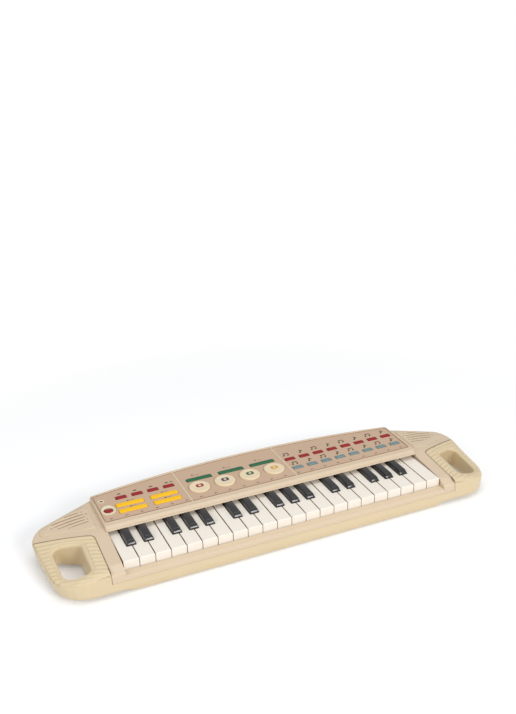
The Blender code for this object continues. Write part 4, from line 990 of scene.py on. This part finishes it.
def panel_print():
    """Generic marks printed on the panel: music signs over the right buttons, dashes and dots elsewhere; and a dark
    line along its front edge, painted as the shade of the gap there.
    """
    dark = []
    brown = []
    low, high = node_box("left_red_buttons")
    y = (low[1] + high[1]) / 2
    for number, x in enumerate(row_places("left_red_buttons", 4, 0.0140)):
        dark.append(dash(x - 0.0003, y + 0.0094, 0.0048, 0.0022))
        if number == 3:
            dark.append(dash(x + 0.0062, y + 0.0094, 0.0046, 0.0014))
    for node in ("yellow_bars_left", "yellow_bars_right"):
        low, high = node_box(node)
        x = (low[0] + high[0]) / 2
        for y in (high[1] - FLANGE_LIP - 0.0040, low[1] + FLANGE_LIP + 0.0040):
            dark.append(dash(x - 0.0007, y + 0.0072, 0.0032, 0.0018))
            brown.append(dash(x + 0.0046, y + 0.0074, 0.0056, 0.0007))
    for node in ("green_bar_left", "green_bar_middle", "green_bar_right"):
        low, high = node_box(node)
        x = (low[0] + high[0]) / 2
        y = (low[1] + high[1]) / 2 + 0.0102
        brown.append(dash(x - 0.0055, y + 0.0010, 0.0026, 0.0030))
        brown.append(dash(x - 0.0018, y, 0.0018, 0.0012))
        brown.append(dash(x + 0.0016, y, 0.0022, 0.0012))
    for node, right, back in (("right_red_buttons", 0.0005, 0.0140), ("right_blue_buttons", 0.0015, 0.0124)):
        low, high = node_box(node)
        y = (low[1] + high[1]) / 2
        for number, x in enumerate(row_places(node, 8, 0.0140)):
            dark += note_mark(x + right, y + back, number % 2)
    for number in range(22):
        x = -KEYBED_HALF + (number + 0.5) * KEY_PITCH
        brown.append(dash(x - 0.0006, PANEL_FRONT_Y + 0.0060, 0.0026, 0.0020))
        brown.append(dash(x + 0.0016, PANEL_FRONT_Y + 0.0060, 0.0012, 0.0012))
    # A dark line just inside the panel's front edge: painted shade of the gap between the panel and the hood
    border = [rectangle(0.0, PANEL_FRONT_Y + 0.0014, 2 * PANEL_HALF - 0.0024, 0.0016, 0.0003, 1)]
    prints = (
        ("panel_print_dark", dark, PANEL_INK),
        ("panel_print_brown", brown, BROWN_PANEL_INK),
        ("panel_front_edge_shade", border, EDGE_SHADE_INK),
    )
    for name, outlines, ink in prints:
        points, faces = prisms(outlines, PANEL_TOP - 0.00003, PANEL_TOP + 0.00005)
        add_piece(name, points, faces, ink, "case")


def drum_pads():
    """Round rubber pads with a dished top and a rolled rim, each with a generic printed square and ring.

    The profile of a pad runs up its leg, out along its flange, up its side, over the quarter circle of its
    rim, and down the square of the distance from the middle.
    """
    for number, ink in enumerate(PAD_PRINTS):
        node = f"drum_pad_{number + 1}"
        low, high = node_box(node)
        x, y = (low[:2] + high[:2]) / 2
        top = high[2]
        flange = (high[0] - low[0]) / 2
        radius = flange - FLANGE_LIP
        turn = np.radians(np.arange(0, 91, 15))
        rim = np.column_stack((radius - PAD_ROLL * (1 - np.cos(turn)), top - PAD_ROLL * (1 - np.sin(turn))))
        share = np.array((0.97, 0.8, 0.6, 0.4, 0.2, 0.02))
        dish = np.column_stack((share * (radius - 2 * PAD_ROLL), top - PAD_DISH * (1 - share**2)))
        foot = [
            (PAD_LEG_RADIUS, low[2]),
            (PAD_LEG_RADIUS, PAD_FLANGE[0]),
            (flange, PAD_FLANGE[0]),
            (flange, PAD_FLANGE[1]),
            (radius, PAD_FLANGE[1]),
        ]
        points, faces = turned(x, y, [*foot, *rim, *dish])
        pad = add_piece(f"pad_rubber_{number + 1}", points, faces, PAD_RUBBER, node, 40)
        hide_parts(node)
        centre = np.array((x, y)) + PAD_MARK_SHIFT
        low_mark = top - PAD_DISH - 0.0003
        points, faces = prisms([rectangle(*centre, *PAD_MARK, 0.0022)], low_mark, top - PAD_DISH + 0.00028)
        add_piece(f"pad_print_{number + 1}", points, faces, ink, node)
        points, faces = prisms([circle(*centre, 0.0019, 20)], low_mark, top - PAD_DISH + 0.00034)
        add_piece(f"pad_dot_{number + 1}", points, faces, PAD_RUBBER, node)


# Black keys

def black_key_caps():
    """The rounded shell of each black key's cap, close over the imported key.

    Rings rise from below the white keys' tops. Their front edge follows a slope whose steepness falls
    steadily from upright to level, summed over the height, and their sides lean in with it.
    """
    z = np.array((-1.5, 0.1, 0.6, 0.9, 1.2, 1.7, 2.2, 2.8, 3.4, 4.0, 4.4, 4.75, 5.05, 5.25, 5.4, 5.5, 5.56)) / 1000
    steepness = np.radians(np.interp(z * 1000, (0.6, 1.2, 4.4, 5.1, 5.5, 5.56), (90, 64, 46, 42, 25, 12)))
    run = np.cos(steepness) / np.sin(steepness)
    front = np.concatenate(((0.0,), np.cumsum((run[1:] + run[:-1]) / 2 * np.diff(z)))) - 0.00010
    lean = np.interp(z * 1000, (0.0, 1.2, 4.4, 5.1, 5.5, 5.56), (-0.08, 0.18, 0.86, 1.26, 1.80, 2.20)) / 1000
    radius = np.interp(z * 1000, (0.0, 2.0, 5.5), (0.5, 0.9, 1.3)) / 1000
    turn = np.radians(np.concatenate([np.linspace(start, start + 90, 6) for start in (180, 270, 0, 90)]))
    side = np.repeat((-1, 1, 1, -1), 6)
    is_front = np.repeat((1, 1, 0, 0), 6) == 1
    for number in range(15):
        node = f"black_key_{number + 1:02d}"
        low, high = node_box(node)
        middle = (low[0] + high[0]) / 2
        half = (high[0] - low[0]) / 2 - lean[:, None]
        near = low[1] + front[:, None]
        far = low[1] + BLACK_CAP_LENGTH
        x = middle + side * (half - radius[:, None]) + radius[:, None] * np.cos(turn)
        y = np.where(is_front, near + radius[:, None], far - radius[:, None]) + radius[:, None] * np.sin(turn)
        height = np.broadcast_to(high[2] - BLACK_RISE + z[:, None], x.shape)
        points = np.stack((x, y, height), axis=-1).reshape(-1, 3)
        ring = np.arange(24)
        faces = grid_faces(len(z), 24, closed=True).tolist()
        faces += [ring[::-1].tolist(), (ring + (len(z) - 1) * 24).tolist()]
        add_piece(f"black_cap_{number + 1:02d}", points, faces, CHARCOAL_KEYS, node, 60)


# Hood

def panel_outline(outwards):
    """The edge of the panel's opening: straight front and sides, and a back that follows the arch."""
    half = PANEL_HALF + outwards
    x = np.linspace(half, -half, 25)
    back = arch_y(x) - PANEL_BACK_INSET + outwards
    front = PANEL_FRONT_Y - outwards
    corners = [(half, front, 0.0012), *((px, py, 0.0) for px, py in zip(x, back)), (-half, front, 0.0012)]
    return rounded_outline(corners, 3)


def swept(outline, section, material, name):
    """A closed bar along a closed plan outline: each (out, z) point of the section on its own offset outline.

    The offset direction at a point is square to the line between its two neighbours.
    """
    ahead = np.roll(outline, -1, axis=0) - np.roll(outline, 1, axis=0)
    ahead /= np.linalg.norm(ahead, axis=1)[:, None]
    out = np.stack((ahead[:, 1], -ahead[:, 0]), axis=1)
    section = np.array(section)
    plan = outline[None] + section[:, :1, None] * out[None]
    z = np.broadcast_to(section[:, 1:, None], (*plan.shape[:2], 1))
    points = np.concatenate((plan, z), axis=-1).reshape(-1, 3)
    size = len(outline)
    faces = grid_faces(len(section), size, closed=True)
    last = (len(section) - 1) * size
    ring = np.arange(size)
    after = (ring + 1) % size
    faces = np.concatenate((faces, np.column_stack((last + ring, last + after, after, ring))))
    return add_piece(name, points, faces.tolist(), material, "case", 50)


def half_round(radius, low, out=0.0):
    """The section of a half-round bar, from its outer foot over the top to its inner foot."""
    turn = np.linspace(0, math.pi, 9)
    arc = np.stack((out + radius * np.cos(turn), low + radius * np.sin(turn)), axis=1)
    return np.concatenate((((out + radius, low - 0.0004),), arc, ((out - radius, low - 0.0004),)))


def hood_details():
    """The rolled line round the panel, a dark line painted as the shade of the gap at its edge, and the ridge along the
    hood's front.
    """
    swept(panel_outline(0.0013), half_round(0.0004, HOOD_TOP), BEIGE_CASE, "panel_rim")
    # A dark strip in the gap at the panel's edge: painted shade of that gap
    gap = [(out, PANEL_TOP + rise) for out, rise in ((0.0002, -0.0003), (0.0002, 0.00045), (-0.0007, 0.00006), (-0.0007, -0.0003))]
    swept(panel_outline(0.0), gap, EDGE_SHADE_INK, "panel_gap_shade")
    ridge = rectangle(0.0, HOOD_RIDGE[0], 2 * HOOD_RIDGE_HALF, 0.0006, 0.0003, 3)
    points, faces = prisms([ridge], HOOD_RIDGE[1] - 0.0008, HOOD_RIDGE[1] + 0.0004)
    ridge = add_piece("hood_ridge", points, faces, BEIGE_CASE, "case", 50)
    soften(ridge, 0.0002)


add_camera()
add_studio()
add_floor()
dress_nodes()
for side in (-1, 1):
    ribbed_top(side)
    seam_line(side)
    speaker_pad(side)
    slot_shade_fill(side)
panel_dividers()
hood_details()
button_caps()
switch_surround()
switch_cap()
lamp_surround()
panel_print()
drum_pads()
black_key_caps()
bpy.context.scene.view_settings.view_transform = "Standard"
